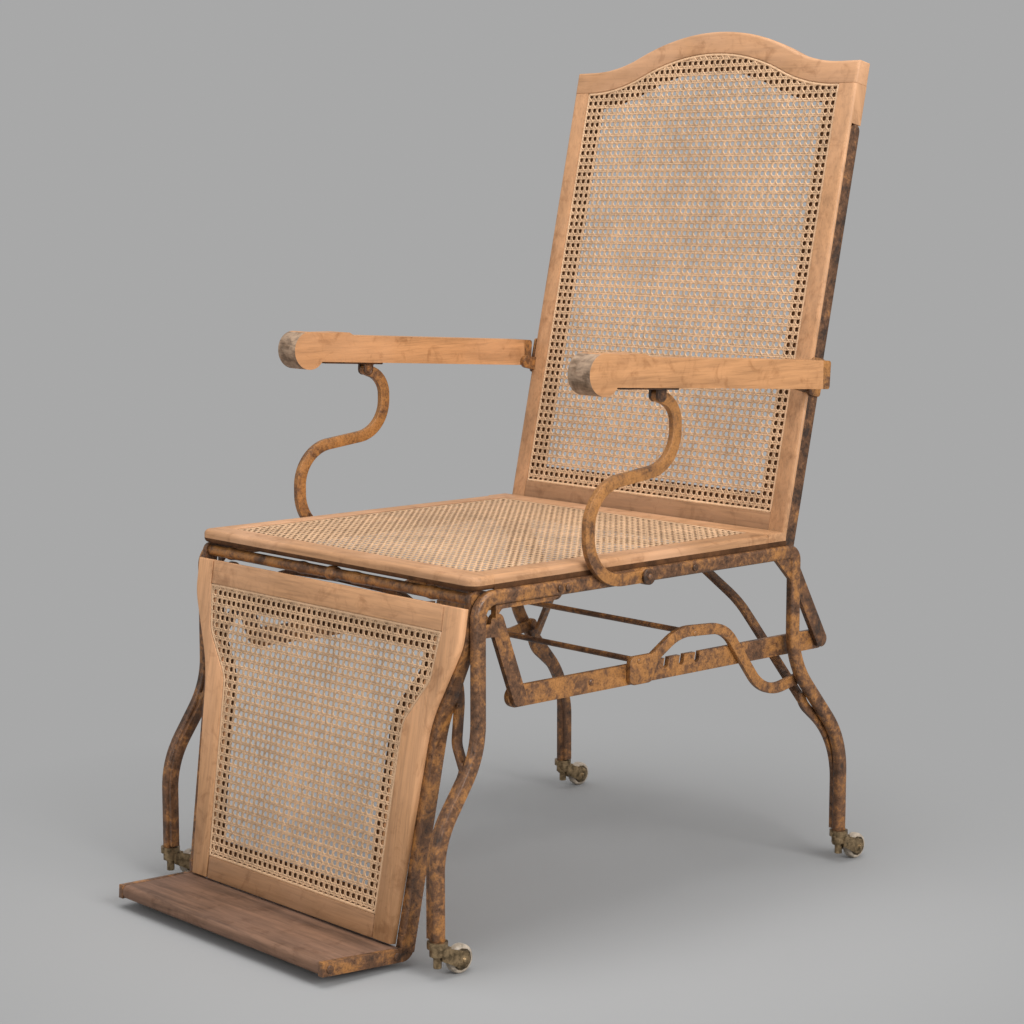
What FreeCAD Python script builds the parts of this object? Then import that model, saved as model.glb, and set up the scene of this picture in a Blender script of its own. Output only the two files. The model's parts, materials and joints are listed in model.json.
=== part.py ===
import FreeCAD, Part
import math
import os

from FreeCAD import Placement, Rotation, Vector

# Reclining planters chair with an iron frame. X runs across the chair, Y from front to rear and
# Z up from the floor. Lengths are in millimetres and angles in degrees.

# The driving sizes, and after an equals sign those that follow from them.
SIZES = {
    # the pieces are modelled from a point a little in front of the seat's middle and written this
    # much further to the rear, so that the origin lies on the floor under the middle of the chair
    "middle_shift": 41.44,
    # side frames: one bent bar each, from front castor over the seat rail to rear castor
    "frame_half_width": 273.0,
    "bar_width": 18.0,
    "bar_depth": 13.0,
    "bar_round": 4.5,
    "rail_height": 440.0,
    "front_leg_reach": 304.0,
    "rear_leg_reach": 250.0,
    "front_foot_reach": 368.0,
    "rear_foot_reach": 352.0,
    "front_knee_top": 257.0,
    "front_knee_bottom": 161.0,
    "rear_knee_top": 292.0,
    "rear_knee_bottom": 172.0,
    "knee_bend": 120.0,
    "corner_bend": 24.0,
    "foot_height": 45.0,
    "corner_web": 28.0,
    # cross rods, which are also the hinge rods of the leg rest and the back
    "rod_radius": 7.0,
    "front_rod_setback": 2.0,
    "front_rod_reach": "=front_leg_reach - front_rod_setback",
    "rear_rod_setback": 3.0,
    "rear_rod_reach": "=rear_leg_reach - rear_rod_setback",
    "pivot_drop": 2.0,
    "pivot_height": "=rail_height - pivot_drop",
    "collar_radius": 9.5,
    "collar_length": 14.0,
    "rod_play": 0.05,
    # arch braces
    "brace_thickness": 6.0,
    "brace_width": 12.0,
    "brace_inset": 28.0,
    "front_brace_drop": 9.0,
    "front_brace_top": "=rail_height - front_brace_drop",
    "front_brace_setback": 17.5,
    "front_brace_crown_reach": "=front_leg_reach - front_brace_setback",
    "front_brace_foot_height": 238.0,
    "front_brace_tilt": 9.1,
    "front_brace_shoulder": 245.0,
    "front_brace_bend": 85.0,
    "rear_brace_drop": 15.0,
    "rear_brace_top": "=rail_height - rear_brace_drop",
    "rear_brace_setback": 10.0,
    "rear_brace_crown_reach": "=rear_leg_reach - rear_brace_setback",
    "rear_brace_foot_height": 236.0,
    "rear_brace_tilt": 12.0,
    "rear_brace_shoulder_drop": 80.0,
    "rear_brace_shoulder_height": "=rail_height - rear_brace_shoulder_drop",
    "rear_brace_shoulder": 174.0,
    "rear_brace_bend": 110.0,
    # strap under each front corner, and the rail's rivets
    "strap_length": 126.0,
    "strap_thickness": 5.0,
    "strap_point": 10.0,
    "rivet_head_radius": 4.5,
    "rivet_head_height": 2.5,
    "rivet_reach_first": 179.0,
    "rivet_spacing": 13.0,
    "rivet_reach_third": 54.0,
    # castors
    "castor_collar_radius": 12.5,
    "castor_collar_height": 8.0,
    "castor_wheel_radius": 17.5,
    "castor_wheel_width": 13.0,
    "castor_tread_round": 4.0,
    "castor_hub_radius": 7.0,
    "castor_hub_proud": 0.8,
    "castor_trail": 33.0,
    "castor_cheek": 3.5,
    "castor_cheek_radius": 8.0,
    "castor_axle_radius": 3.0,
    "castor_axle_head": 2.0,
    "castor_boss_radius": 9.5,
    "castor_nut_radius": 5.0,
    "castor_nut_drop": 5.0,
    "castor_stem_radius": 4.0,
    # clearances between pieces that move on each other
    "side_play": 0.3,
    "bore_play": 0.06,
    # seat
    "seat_half_width": "=frame_half_width",
    "seat_overhang": 8.0,
    "seat_front_reach": "=front_leg_reach + seat_overhang",
    "seat_rear_setback": 16.0,
    "seat_rear_reach": "=rear_leg_reach - seat_rear_setback",
    "seat_thickness": 17.0,
    "seat_member": 34.0,
    "seat_edge_round": 6.0,
    "seat_corner_round": 16.0,
    "cane_thickness": 2.0,
    "cane_lip": 14.0,
    "seat_cane_drop": 1.0,
    # back, measured from its hinge rod along its slope
    "back_slope": 12.35,
    "back_half_width": 266.0,
    "back_lead": 14.5,
    "back_thickness": 23.5,
    "back_start": 19.0,
    "back_shoulder": 654.0,
    "back_rise": 50.0,
    "back_shoulder_flat": 33.0,
    "back_arc_share": 0.62,
    "back_member": 28.0,
    "back_crest_width": 31.0,
    "back_edge_round": 5.0,
    "back_cane_drop": 1.0,
    # flat irons along the back and their tails
    "iron_thickness": 7.0,
    "iron_inner": "=back_half_width - iron_thickness",
    "iron_width": 18.0,
    "iron_length": 561.0,
    "iron_eye_radius": 13.0,
    "tail_width": 20.0,
    "link_radius": 144.0,
    "link_reach": 70.75,
    # leg rest, measured from its hinge rod down its slope
    "rest_slope": 8.9,
    "rest_front_offset": 16.5,
    "rest_thickness": 9.0,
    "rest_start": 10.8,
    "rest_end": 418.0,
    "rest_half_top": 265.4,
    "rest_half_shoulder": 265.0,
    "rest_half_waist": 224.0,
    "rest_half_bottom": 204.5,
    "rest_shoulder": 55.0,
    "rest_waist": 150.0,
    "rest_shoulder_bend": 70.0,
    "rest_waist_bend": 160.0,
    "rest_open_top": 41.0,
    "rest_open_bottom": 390.0,
    "rest_open_half_top": 232.0,
    "rest_open_half_shoulder": 222.0,
    "rest_open_half_waist": 182.0,
    "rest_open_half_bottom": 171.0,
    "rest_open_shoulder": 102.0,
    "rest_open_waist": 157.0,
    "rest_open_shoulder_bend": 28.0,
    "rest_open_waist_bend": 36.0,
    "rest_edge_round": 4.0,
    "rest_cane_drop": 1.0,
    "rest_eye_radius": 10.0,
    "rest_lug_drop": 39.0,
    "rest_lug_height": "=pivot_height - rest_lug_drop",
    "rest_lug_width": 16.0,
    "rest_iron_depth": 17.0,
    "rest_iron_outer_waist": 235.0,
    "rest_iron_outer_bottom": 219.5,
    "rest_iron_inner_waist": 222.0,
    "rest_iron_inner_bottom": 205.0,
    "rest_iron_end": 425.0,
    "crank_width": 21.0,
    "crank_top_run": 35.0,
    "crank_top_reach": "=front_rod_reach - crank_top_run",
    "crank_top_drop": 30.0,
    "crank_top_height": "=pivot_height - crank_top_drop",
    # footboard
    "foot_depth": 113.0,
    "foot_thickness": 17.0,
    "foot_slope": 3.0,
    "foot_setback": 73.5,
    "foot_rear_reach": "=front_rod_reach + foot_setback",
    "foot_drop": 413.6,
    "foot_top_height": "=pivot_height - foot_drop",
    "foot_half_rear": 211.5,
    "foot_half_front": 203.5,
    "foot_edge_round": 6.5,
    "foot_strap_thickness": 8.0,
    "foot_strap_bend": 16.0,
    "foot_strap_drop": 398.0,
    "foot_strap_rise": "=pivot_height - foot_strap_drop",
    "foot_screw_radius": 5.0,
    "foot_screw_height": 2.0,
    "foot_screw_inset": 10.0,
    # notched link bars
    "link_height": 26.0,
    "link_thickness": 7.0,
    "notch_width": 8.6,
    "notch_depth": 13.0,
    "notch_pitch": 28.3,
    "notch_reach_first": 30.0,
    "notch_lean": 2.4,
    "notch_floor_round": 3.6,
    "notch_count": 5,
    "link_pin_radius": 4.5,
    "link_pin_head_radius": 7.5,
    "link_pin_head_height": 2.5,
    "link_pin_open_play": 0.5,
    # catch levers and their two rods
    "catch_rod_radius": 3.75,
    "catch_ride": 0.45,
    "catch_pivot_reach": 276.0,
    "catch_pivot_drop": 172.0,
    "catch_pivot_height": "=pivot_height - catch_pivot_drop",
    "catch_width": 14.0,
    "catch_eye_radius": 9.0,
    "catch_low_reach": 205.0,
    "catch_low_drop": 185.0,
    "catch_low_height": "=pivot_height - catch_low_drop",
    "catch_low_bend": 60.0,
    "catch_rise_reach": 128.0,
    "catch_rise_drop": 86.0,
    "catch_rise_height": "=pivot_height - catch_rise_drop",
    "catch_rise_bend": 52.0,
    "catch_crest_reach": 42.0,
    "catch_crest_drop": 81.0,
    "catch_crest_height": "=pivot_height - catch_crest_drop",
    "catch_crest_bend": 70.0,
    "catch_nose_reach": 26.0,
    "catch_nose_drop": 122.0,
    "catch_nose_height": "=pivot_height - catch_nose_drop",
    "catch_plate_front": 46.0,
    "catch_plate_rear": 8.0,
    "catch_plate_low_drop": 138.0,
    "catch_plate_low": "=pivot_height - catch_plate_low_drop",
    "catch_plate_high_drop": 102.0,
    "catch_plate_high": "=pivot_height - catch_plate_high_drop",
    "catch_plate_round": 9.0,
    "catch_handle_reach": 71.0,
    "catch_handle_drop": 86.0,
    "catch_handle_height": "=pivot_height - catch_handle_drop",
    "catch_bolt_radius": 4.0,
    # arms
    "arm_width": 38.0,
    "arm_play": 0.6,
    "arm_inner": "=back_half_width + arm_play",
    "arm_height": 37.0,
    "arm_slope": 3.5,
    "arm_rear": 13.0,
    "arm_below_pin": 5.0,
    "arm_roll_reach": 397.0,
    "arm_roll_drop": 11.0,
    "arm_roll_throat": 3.0,
    "arm_throat_round": 2.0,
    "arm_pad_end": 330.0,
    "arm_pad_height": 4.0,
    "arm_pad_dip": 1.5,
    "arm_edge_round": 4.0,
    "arm_run": 19.0,
    "arm_rise": 221.0,
    "arm_pin_radius": 3.5,
    "arm_bracket_radius": 10.0,
    "arm_bracket_width": 18.0,
    "arm_cheek_height": 50.0,
    "arm_cheek_thickness": 4.0,
    "arm_cheek_lead": 4.5,
    "arm_cheek_rise": 13.0,
    "arm_plate_thickness": 2.5,
    "arm_plate_width": 26.0,
    "arm_plate_front": 80.0,
    "arm_plate_rear": 22.0,
    "arm_lug_thickness": 4.0,
    "arm_lug_radius": 7.5,
    # S-shaped arm supports
    "support_reach": 39.0,
    "support_height": "=rail_height",
    "support_width": 15.0,
    "support_thickness": 8.0,
    "support_belly_reach": 137.0,
    "support_belly_rise": 116.0,
    "support_chest_reach": 51.0,
    "support_chest_rise": 133.0,
    "support_top_rise": 209.0,
    "support_low_bend": 56.0,
    "support_high_bend": 50.0,
    "support_top_bend": 34.0,
    "support_eye_radius": 10.5,
    "support_bolt_radius": 5.0,
    "support_bolt_head": 4.0,
    # one length by which every cut runs past the face it leaves
    "overrun": 2.0,
}


class Sizes:
    """The sheet's values by name."""


z = Sizes()
doc = FreeCAD.newDocument("PlantersChair")
sheet = doc.addObject("Spreadsheet::Sheet", "Sizes")
for row, (name, value) in enumerate(SIZES.items(), start=1):
    sheet.set("A%d" % row, name)
    sheet.set("B%d" % row, str(value))
    sheet.setAlias("B%d" % row, name)
doc.recompute()
for name in SIZES:
    setattr(z, name, float(sheet.get(name)))

SIDES = (("left", -1), ("right", 1))
NODES = []


def sheet_words(words):
    """Turn a formula in size names into one that reads the sheet."""
    for name in sorted(SIZES, key=len, reverse=True):
        words = words.replace(name, "<%d>" % list(SIZES).index(name))
    for index, name in enumerate(SIZES):
        words = words.replace("<%d>" % index, "Sizes." + name)
    return words


def bind(obj, prop, words):
    obj.setExpression(prop, sheet_words(words))


def keep(obj, label):
    """Name a finished piece and list it for writing."""
    obj.Label = label
    NODES.append(obj)
    return obj


# Outlines: a list of corners (a, b, bend), joined by straight runs and tangent arcs

def unit(a, b):
    length = math.hypot(a, b)
    return a / length, b / length


def outline_edges(corners):
    """Lines and tangent arcs round a closed list of corners."""
    count = len(corners)
    joints = []
    for index, (a, b, bend) in enumerate(corners):
        before = corners[index - 1]
        after = corners[(index + 1) % count]
        in_a, in_b = unit(before[0] - a, before[1] - b)
        out_a, out_b = unit(after[0] - a, after[1] - b)
        if bend <= 0:
            joints.append(((a, b), None, (a, b)))
            continue
        half = math.acos(max(-1.0, min(1.0, in_a * out_a + in_b * out_b))) / 2
        reach = bend / math.tan(half)
        mid_a, mid_b = unit(in_a + out_a, in_b + out_b)
        gap = bend / math.sin(half) - bend
        joints.append(((a + in_a * reach, b + in_b * reach),
                       (a + mid_a * gap, b + mid_b * gap),
                       (a + out_a * reach, b + out_b * reach)))
    edges = []
    for index, (start, middle, end) in enumerate(joints):
        if middle:
            edges.append(Part.Arc(flat(start), flat(middle), flat(end)))
        following = joints[(index + 1) % count][0]
        if math.dist(end, following) > z.bore_play / 10:
            edges.append(Part.LineSegment(flat(end), flat(following)))
    return edges


def flat(point):
    return Vector(point[0], point[1], 0)


def ribbon(path, width, round_start=True, round_end=True):
    """Corners of a strip of even width along an open path of (a, b, bend).

    A round end is centred on the path's end.
    """
    half = width / 2
    sides = {1: [], -1: []}
    last = len(path) - 1
    for index, (a, b, bend) in enumerate(path):
        if index == 0:
            way = unit(path[1][0] - a, path[1][1] - b)
            ways = (way, way)
        elif index == last:
            way = unit(a - path[index - 1][0], b - path[index - 1][1])
            ways = (way, way)
        else:
            ways = (unit(a - path[index - 1][0], b - path[index - 1][1]),
                    unit(path[index + 1][0] - a, path[index + 1][1] - b))
        turn = ways[0][0] * ways[1][1] - ways[0][1] * ways[1][0]
        across = unit(-ways[0][1] - ways[1][1], ways[0][0] + ways[1][0])
        square = across[0] * -ways[0][1] + across[1] * ways[0][0]
        for side in (1, -1):
            shift = side * half / square
            reach = 0
            if index == 0:
                edge_bend = half if round_start else 0
                reach = -edge_bend
            elif index == last:
                edge_bend = half if round_end else 0
                reach = edge_bend
            else:
                edge_bend = bend - half * side if turn > 0 else bend + half * side
            sides[side].append((a + across[0] * shift + ways[0][0] * reach,
                                b + across[1] * shift + ways[0][1] * reach, edge_bend))
    return sides[-1] + sides[1][::-1]


LINK_HEIGHT = "pivot_height - sqrt(link_radius ^ 2 - link_reach ^ 2)"


# Building blocks

def origin_plane(body, role):
    for feature in body.Origin.OriginFeatures:
        if feature.Role == role:
            return feature


def add_sketch(body, role, edges, name="Profile"):
    """A sketch of joined edges on one of the body's own origin planes."""
    sketch = body.newObject("Sketcher::SketchObject", name)
    sketch.AttachmentSupport = [(origin_plane(body, role), "")]
    sketch.MapMode = "FlatFace"
    sketch.addGeometry(edges, False)
    return sketch


def pad(body, sketch, depth):
    feature = body.newObject("PartDesign::Pad", "Pad")
    feature.Profile = sketch
    bind(feature, "Length", depth)
    body.Tip = feature
    return feature


def fillet(body, base, radius, chosen):
    """Round those edges of a feature that the test chooses."""
    doc.recompute()
    names = ["Edge%d" % number for number, edge in enumerate(base.Shape.Edges, start=1) if chosen(edge)]
    feature = body.newObject("PartDesign::Fillet", "Rounded")
    feature.Base = (base, names)
    bind(feature, "Radius", radius)
    body.Tip = feature
    return feature


def side_plate(name, corners, inner, thickness, side):
    """A plate with its outline in Y and Z, whose face nearer the middle is at the given X."""
    body = doc.addObject("PartDesign::Body", name)
    sketch = add_sketch(body, "YZ_Plane", outline_edges(corners))
    if side > 0:
        bind(sketch, "AttachmentOffset.Base.z", inner)
    else:
        bind(sketch, "AttachmentOffset.Base.z", "-(%s) - (%s)" % (inner, thickness))
    return body, pad(body, sketch, thickness)


def sloped_plate(name, corners, reach, height, slope, start, thickness):
    """A plate on a plane through the line Y = reach, Z = height, leaning back by the slope."""
    body = doc.addObject("PartDesign::Body", name)
    sketch = add_sketch(body, "XZ_Plane", outline_edges(corners))
    sketch.AttachmentOffset = Placement(Vector(0, 0, 0), Rotation(Vector(1, 0, 0), -1))
    bind(sketch, "AttachmentOffset.Base.y", "(%s) + (%s) * sin((%s) * 1 deg)" % (height, start, slope))
    bind(sketch, "AttachmentOffset.Base.z", "-(%s) + (%s) * cos((%s) * 1 deg)" % (reach, start, slope))
    bind(sketch, "AttachmentOffset.Rotation.Angle", "-(%s)" % slope)
    return body, pad(body, sketch, thickness)


def level_plate(name, corners, height, thickness):
    body = doc.addObject("PartDesign::Body", name)
    sketch = add_sketch(body, "XY_Plane", outline_edges(corners))
    bind(sketch, "AttachmentOffset.Base.z", height)
    return body, pad(body, sketch, thickness)


def cylinder(name, radius, height, x, y, up, axis=Vector(0, 0, 1)):
    """A cylinder standing on (x, y, up), along Z or, with axis X, along X."""
    shape = doc.addObject("Part::Cylinder", name)
    bind(shape, "Radius", radius)
    bind(shape, "Height", height)
    shape.Placement = Placement(Vector(0, 0, 0), Rotation(Vector(0, 0, 1), axis))
    bind(shape, "Placement.Base.x", x)
    bind(shape, "Placement.Base.y", y)
    bind(shape, "Placement.Base.z", up)
    return shape


def along_x(name, radius, length, x, y, up):
    return cylinder(name, radius, length, x, y, up, Vector(1, 0, 0))


def box(name, length, width, height, x, y, up):
    shape = doc.addObject("Part::Box", name)
    bind(shape, "Length", length)
    bind(shape, "Width", width)
    bind(shape, "Height", height)
    bind(shape, "Placement.Base.x", x)
    bind(shape, "Placement.Base.y", y)
    bind(shape, "Placement.Base.z", up)
    return shape


def joined(name, shapes):
    result = doc.addObject("Part::MultiFuse", name)
    result.Shapes = shapes
    result.Refine = True
    return result


def cut(name, base, tool):
    result = doc.addObject("Part::Cut", name)
    result.Base = base
    result.Tool = tool
    result.Refine = True
    return result


def group(name, shapes):
    """Separate solids that share one node."""
    result = doc.addObject("Part::Compound", name)
    result.Links = shapes
    return result


def edge_lies_at(edge, axis, places):
    """Whether an edge lies wholly in one of the planes across the axis."""
    low = getattr(edge.BoundBox, axis + "Min")
    high = getattr(edge.BoundBox, axis + "Max")
    near = z.bore_play / 10
    return any(abs(low - place) < near and abs(high - place) < near for place in places)


def mirror_x(corners, side):
    """An outline drawn for the right, turned over for the left."""
    if side > 0:
        return corners
    return [(-a, b, bend) for a, b, bend in reversed(corners)]


# Side frames

FRAME_INNER = "frame_half_width - bar_depth / 2"


def frame_path():
    return [(-z.front_foot_reach, z.foot_height, 0),
            (-z.front_foot_reach, z.front_knee_bottom, z.knee_bend),
            (-z.front_leg_reach, z.front_knee_top, z.knee_bend),
            (-z.front_leg_reach, z.rail_height, z.corner_bend),
            (z.rear_leg_reach, z.rail_height, z.corner_bend / 2),
            (z.rear_leg_reach, z.rear_knee_top, z.knee_bend),
            (z.rear_foot_reach, z.rear_knee_bottom, z.knee_bend),
            (z.rear_foot_reach, z.foot_height, 0)]


def make_side_frame(label, side):
    inner = z.frame_half_width - z.bar_depth / 2
    body, bar = side_plate("Frame" + label, ribbon(frame_path(), z.bar_width, False, False),
                           FRAME_INNER, "bar_depth", side)
    faces = (side * inner, side * (inner + z.bar_depth))
    fillet(body, bar, "bar_round",
           lambda edge: edge_lies_at(edge, "X", faces) and not edge_lies_at(edge, "Z", (z.foot_height,)))
    web_y = z.rear_leg_reach - z.bar_width / 2
    web_z = z.rail_height - z.bar_width / 2
    overlap = z.bar_width / 4
    corners = [(web_y - z.corner_web, web_z, 0), (web_y, web_z - z.corner_web, 0),
               (web_y + overlap, web_z - z.corner_web, 0), (web_y + overlap, web_z + overlap, 0),
               (web_y - z.corner_web, web_z + overlap, 0)]
    web = side_plate("Web" + label, corners, FRAME_INNER + " + bar_depth / 4", "bar_depth / 2", side)[0]
    keep(joined("SideFrame" + label, [body, web]), "side_frame_" + label)


# Cross rods

def make_cross_rods():
    span = "2 * frame_half_width - bar_depth"
    start = "-frame_half_width + bar_depth / 2"
    rod = along_x("FrontRod", "rod_radius", span, start, "-front_rod_reach", "pivot_height")
    collar = along_x("FrontCollar", "collar_radius", "collar_length", "-collar_length / 2",
                     "-front_rod_reach", "pivot_height")
    keep(joined("FrontCrossRod", [rod, collar]), "front_cross_rod")
    keep(along_x("RearRod", "rod_radius", span, start, "rear_rod_reach", "pivot_height"), "rear_cross_rod")


# Arch braces: an arch on a leaning plane, and a strip down the inside of each lower leg

def arch_outline(path_half):
    """A strip from foot to foot, drawn from its right half."""
    path = path_half + [(-a, b, bend) for a, b, bend in reversed(path_half[:-1])]
    return ribbon(path, z.brace_thickness, False, False)


def leg_strip(name, path, side):
    corners = ribbon(path, z.brace_width, False, False)
    return side_plate(name, corners, FRAME_INNER + " - brace_thickness", "brace_thickness", side)[0]


def brace_strip(leg, crown_reach, crown_height, tilt, foot):
    """The strip's way up a leg and off it on to the arch's foot, which lies on the tilted plane."""
    lean = math.tan(math.radians(tilt))
    low = (leg[0][0], leg[0][1] + z.castor_collar_height / 4, 0)
    meet = foot - z.brace_width / 2
    end = foot + z.brace_width * 3 / 4
    return [low, leg[1], (crown_reach + (crown_height - meet) * lean, meet, z.knee_bend / 3),
            (crown_reach + (crown_height - end) * lean, end, 0)]


def make_front_brace():
    touch = z.frame_half_width - z.bar_depth / 2 - z.brace_thickness / 2
    lean = math.cos(math.radians(z.front_brace_tilt))
    foot = (z.front_brace_foot_height - z.front_brace_top) / lean
    leave = foot + z.brace_inset
    corners = [(touch, foot, 0), (z.front_brace_shoulder, leave, z.brace_inset),
               (z.front_brace_shoulder - z.brace_thickness, -z.front_brace_bend, z.front_brace_bend),
               (z.front_brace_shoulder / 2, -z.brace_thickness, z.front_brace_bend),
               (0, -z.brace_thickness / 2, 2 * z.front_brace_bend)]
    arch = sloped_plate("FrontArch", arch_outline(corners), "-front_brace_crown_reach",
                        "front_brace_top", "front_brace_tilt", "-brace_width / 2", "brace_width")[0]
    path = brace_strip(frame_path()[:2], -z.front_brace_crown_reach, z.front_brace_top,
                       -z.front_brace_tilt, z.front_brace_foot_height)
    strips = [leg_strip("FrontStrip" + label, path, side) for label, side in SIDES]
    keep(joined("FrontBrace", [arch] + strips), "front_arch_brace")


def make_rear_brace():
    touch = z.frame_half_width - z.bar_depth / 2 - z.brace_thickness / 2
    lean = math.cos(math.radians(z.rear_brace_tilt))
    foot = (z.rear_brace_foot_height - z.rear_brace_top) / lean
    middle = (z.rear_brace_shoulder_height - z.rear_brace_top) / lean
    corners = [(touch, foot, 0), (z.rear_brace_shoulder, middle, z.rear_brace_bend),
               (z.rear_brace_shoulder / 2, -z.brace_thickness, z.rear_brace_bend),
               (0, -z.brace_thickness / 2, 2 * z.rear_brace_bend)]
    arch = sloped_plate("RearArch", arch_outline(corners), "rear_brace_crown_reach",
                        "rear_brace_top", "-rear_brace_tilt", "-brace_width / 2", "brace_width")[0]
    path = brace_strip(frame_path()[-2:][::-1], z.rear_brace_crown_reach, z.rear_brace_top,
                       z.rear_brace_tilt, z.rear_brace_foot_height)
    strips = [leg_strip("RearStrip" + label, path, side) for label, side in SIDES]
    keep(joined("RearBrace", [arch] + strips), "rear_arch_brace")


# Straps under the front corners, and the rail's rivets

def make_straps():
    straps = []
    for label, side in SIDES:
        front = -z.front_leg_reach + z.corner_bend
        high = z.rail_height - z.bar_width / 2
        low = high - z.strap_thickness
        rear = -z.front_leg_reach + z.strap_length
        corners = [(front, low - z.strap_point, 0), (front + z.strap_point, low, z.strap_point / 2),
                   (rear - z.strap_point, low, 0), (rear, high, 0), (front, high, 0)]
        straps.append(side_plate("Strap" + label, corners, FRAME_INNER + " + bar_round / 2",
                                 "bar_depth - bar_round", side)[0])
    keep(group("FrontStraps", straps), "front_corner_straps")


def make_rivets():
    rivets = []
    outer = "frame_half_width + bar_depth / 2"
    places = ("-rivet_reach_first", "-rivet_reach_first + rivet_spacing", "rivet_reach_third")
    for label, side in SIDES:
        for number, place in enumerate(places, start=1):
            start = outer if side > 0 else "-(%s) - rivet_head_height" % outer
            rivets.append(along_x("Rivet%s%d" % (label, number), "rivet_head_radius",
                                  "rivet_head_height", start, place, "rail_height"))
    keep(group("RailRivets", rivets), "rail_rivets")


# Castors

CORNERS = (("front_left", -1, "-front_foot_reach"), ("front_right", 1, "-front_foot_reach"),
           ("rear_left", -1, "rear_foot_reach"), ("rear_right", 1, "rear_foot_reach"))
FORK_TOP = "foot_height - castor_collar_height - side_play"
FORK_HEIGHT = "(foot_height - castor_collar_height - side_play - castor_wheel_radius)"
FORK_GAP = "(castor_wheel_width / 2 + castor_hub_proud + side_play)"


def make_castors():
    sockets = []
    for label, side, place in CORNERS:
        across = "frame_half_width" if side > 0 else "-frame_half_width"
        bottom = "foot_height - castor_collar_height"
        collar = cylinder("Collar" + label, "castor_collar_radius", "castor_collar_height",
                          across, place, bottom)
        bore = cylinder("CollarBore" + label, "castor_stem_radius + bore_play", "castor_collar_height",
                        across, place, bottom + " - overrun")
        sockets.append(cut("Socket" + label, collar, bore))
        reach = -z.front_foot_reach if place.startswith("-") else z.rear_foot_reach
        make_fork(label, across, place, reach)
        make_wheel(label, across, place)
    keep(group("CastorSockets", sockets), "castor_sockets")


def make_fork(label, across, place, reach):
    """A swivelling fork that trails behind its stem, with the axle in it."""
    boss = cylinder("Boss" + label, "castor_boss_radius", FORK_HEIGHT + " / 2", across, place,
                    FORK_TOP + " - " + FORK_HEIGHT + " / 2")
    nut = cylinder("Nut" + label, "castor_nut_radius", FORK_HEIGHT + " / 2 + castor_nut_drop", across,
                   place, "castor_wheel_radius - castor_nut_drop")
    stem = cylinder("Stem" + label, "castor_stem_radius",
                    FORK_HEIGHT + " / 2 + castor_collar_height - overrun - side_play", across, place,
                    FORK_TOP + " - " + FORK_HEIGHT + " / 2")
    low = z.castor_wheel_radius - z.castor_cheek_radius
    rise = z.foot_height - z.castor_collar_height - z.side_play
    end = reach + z.castor_trail + z.castor_cheek_radius
    corners = [(end, low, z.castor_cheek_radius),
               (end, low + 2 * z.castor_cheek_radius, z.castor_cheek_radius),
               (reach + z.castor_cheek_radius, rise, 0), (reach, rise, 0),
               (reach, z.castor_wheel_radius + z.castor_nut_drop, 0),
               (reach + z.castor_trail - z.castor_cheek_radius, low, z.castor_cheek_radius)]
    pieces = [boss, nut, stem]
    for name, offset in (("Outer", "(%s) + %s" % (across, FORK_GAP)),
                         ("Inner", "(%s) - %s - castor_cheek" % (across, FORK_GAP))):
        body = doc.addObject("PartDesign::Body", name + "Cheek" + label)
        sketch = add_sketch(body, "YZ_Plane", outline_edges(corners))
        bind(sketch, "AttachmentOffset.Base.z", offset)
        pad(body, sketch, "castor_cheek")
        pieces.append(body)
    half = FORK_GAP + " + castor_cheek + castor_axle_head"
    pieces.append(along_x("Axle" + label, "castor_axle_radius", "2 * (%s)" % half,
                          "(%s) - (%s)" % (across, half), "(%s) + castor_trail" % place,
                          "castor_wheel_radius"))
    pieces.append(box("Bridge" + label, "2 * " + FORK_GAP, "castor_trail - castor_wheel_radius - side_play",
                      FORK_HEIGHT + " / 2", "(%s) - %s" % (across, FORK_GAP), place,
                      FORK_TOP + " - " + FORK_HEIGHT + " / 2"))
    keep(joined("Fork" + label, pieces), "castor_fork_" + label)


def make_wheel(label, across, place):
    """A wheel turned about its axle, with a rounded tread and a hub that stands proud."""
    half = z.castor_wheel_width / 2
    hub = half + z.castor_hub_proud
    bore = z.castor_axle_radius + z.bore_play
    corners = [(-hub, bore, 0), (hub, bore, 0), (hub, z.castor_hub_radius, 0),
               (half, z.castor_hub_radius, 0), (half, z.castor_wheel_radius, z.castor_tread_round),
               (-half, z.castor_wheel_radius, z.castor_tread_round), (-half, z.castor_hub_radius, 0),
               (-hub, z.castor_hub_radius, 0)]
    body = doc.addObject("PartDesign::Body", "Wheel" + label)
    sketch = add_sketch(body, "XY_Plane", outline_edges(corners))
    turn = body.newObject("PartDesign::Revolution", "Turned")
    turn.Profile = sketch
    turn.ReferenceAxis = (sketch, ["H_Axis"])
    body.Tip = turn
    bind(body, "Placement.Base.x", across)
    bind(body, "Placement.Base.y", "(%s) + castor_trail" % place)
    bind(body, "Placement.Base.z", "castor_wheel_radius")
    keep(body, "castor_wheel_" + label)


# Seat

SEAT_BOTTOM = "rail_height + bar_width / 2"


def seat_ledge(name, corners):
    """The ledge inside a rail that the cane lies on."""
    corners = [corner[:2] + (0,) for corner in corners]
    return level_plate("SeatLedge" + name, corners, SEAT_BOTTOM,
                       "seat_thickness - seat_cane_drop - cane_thickness")[0]


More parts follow.
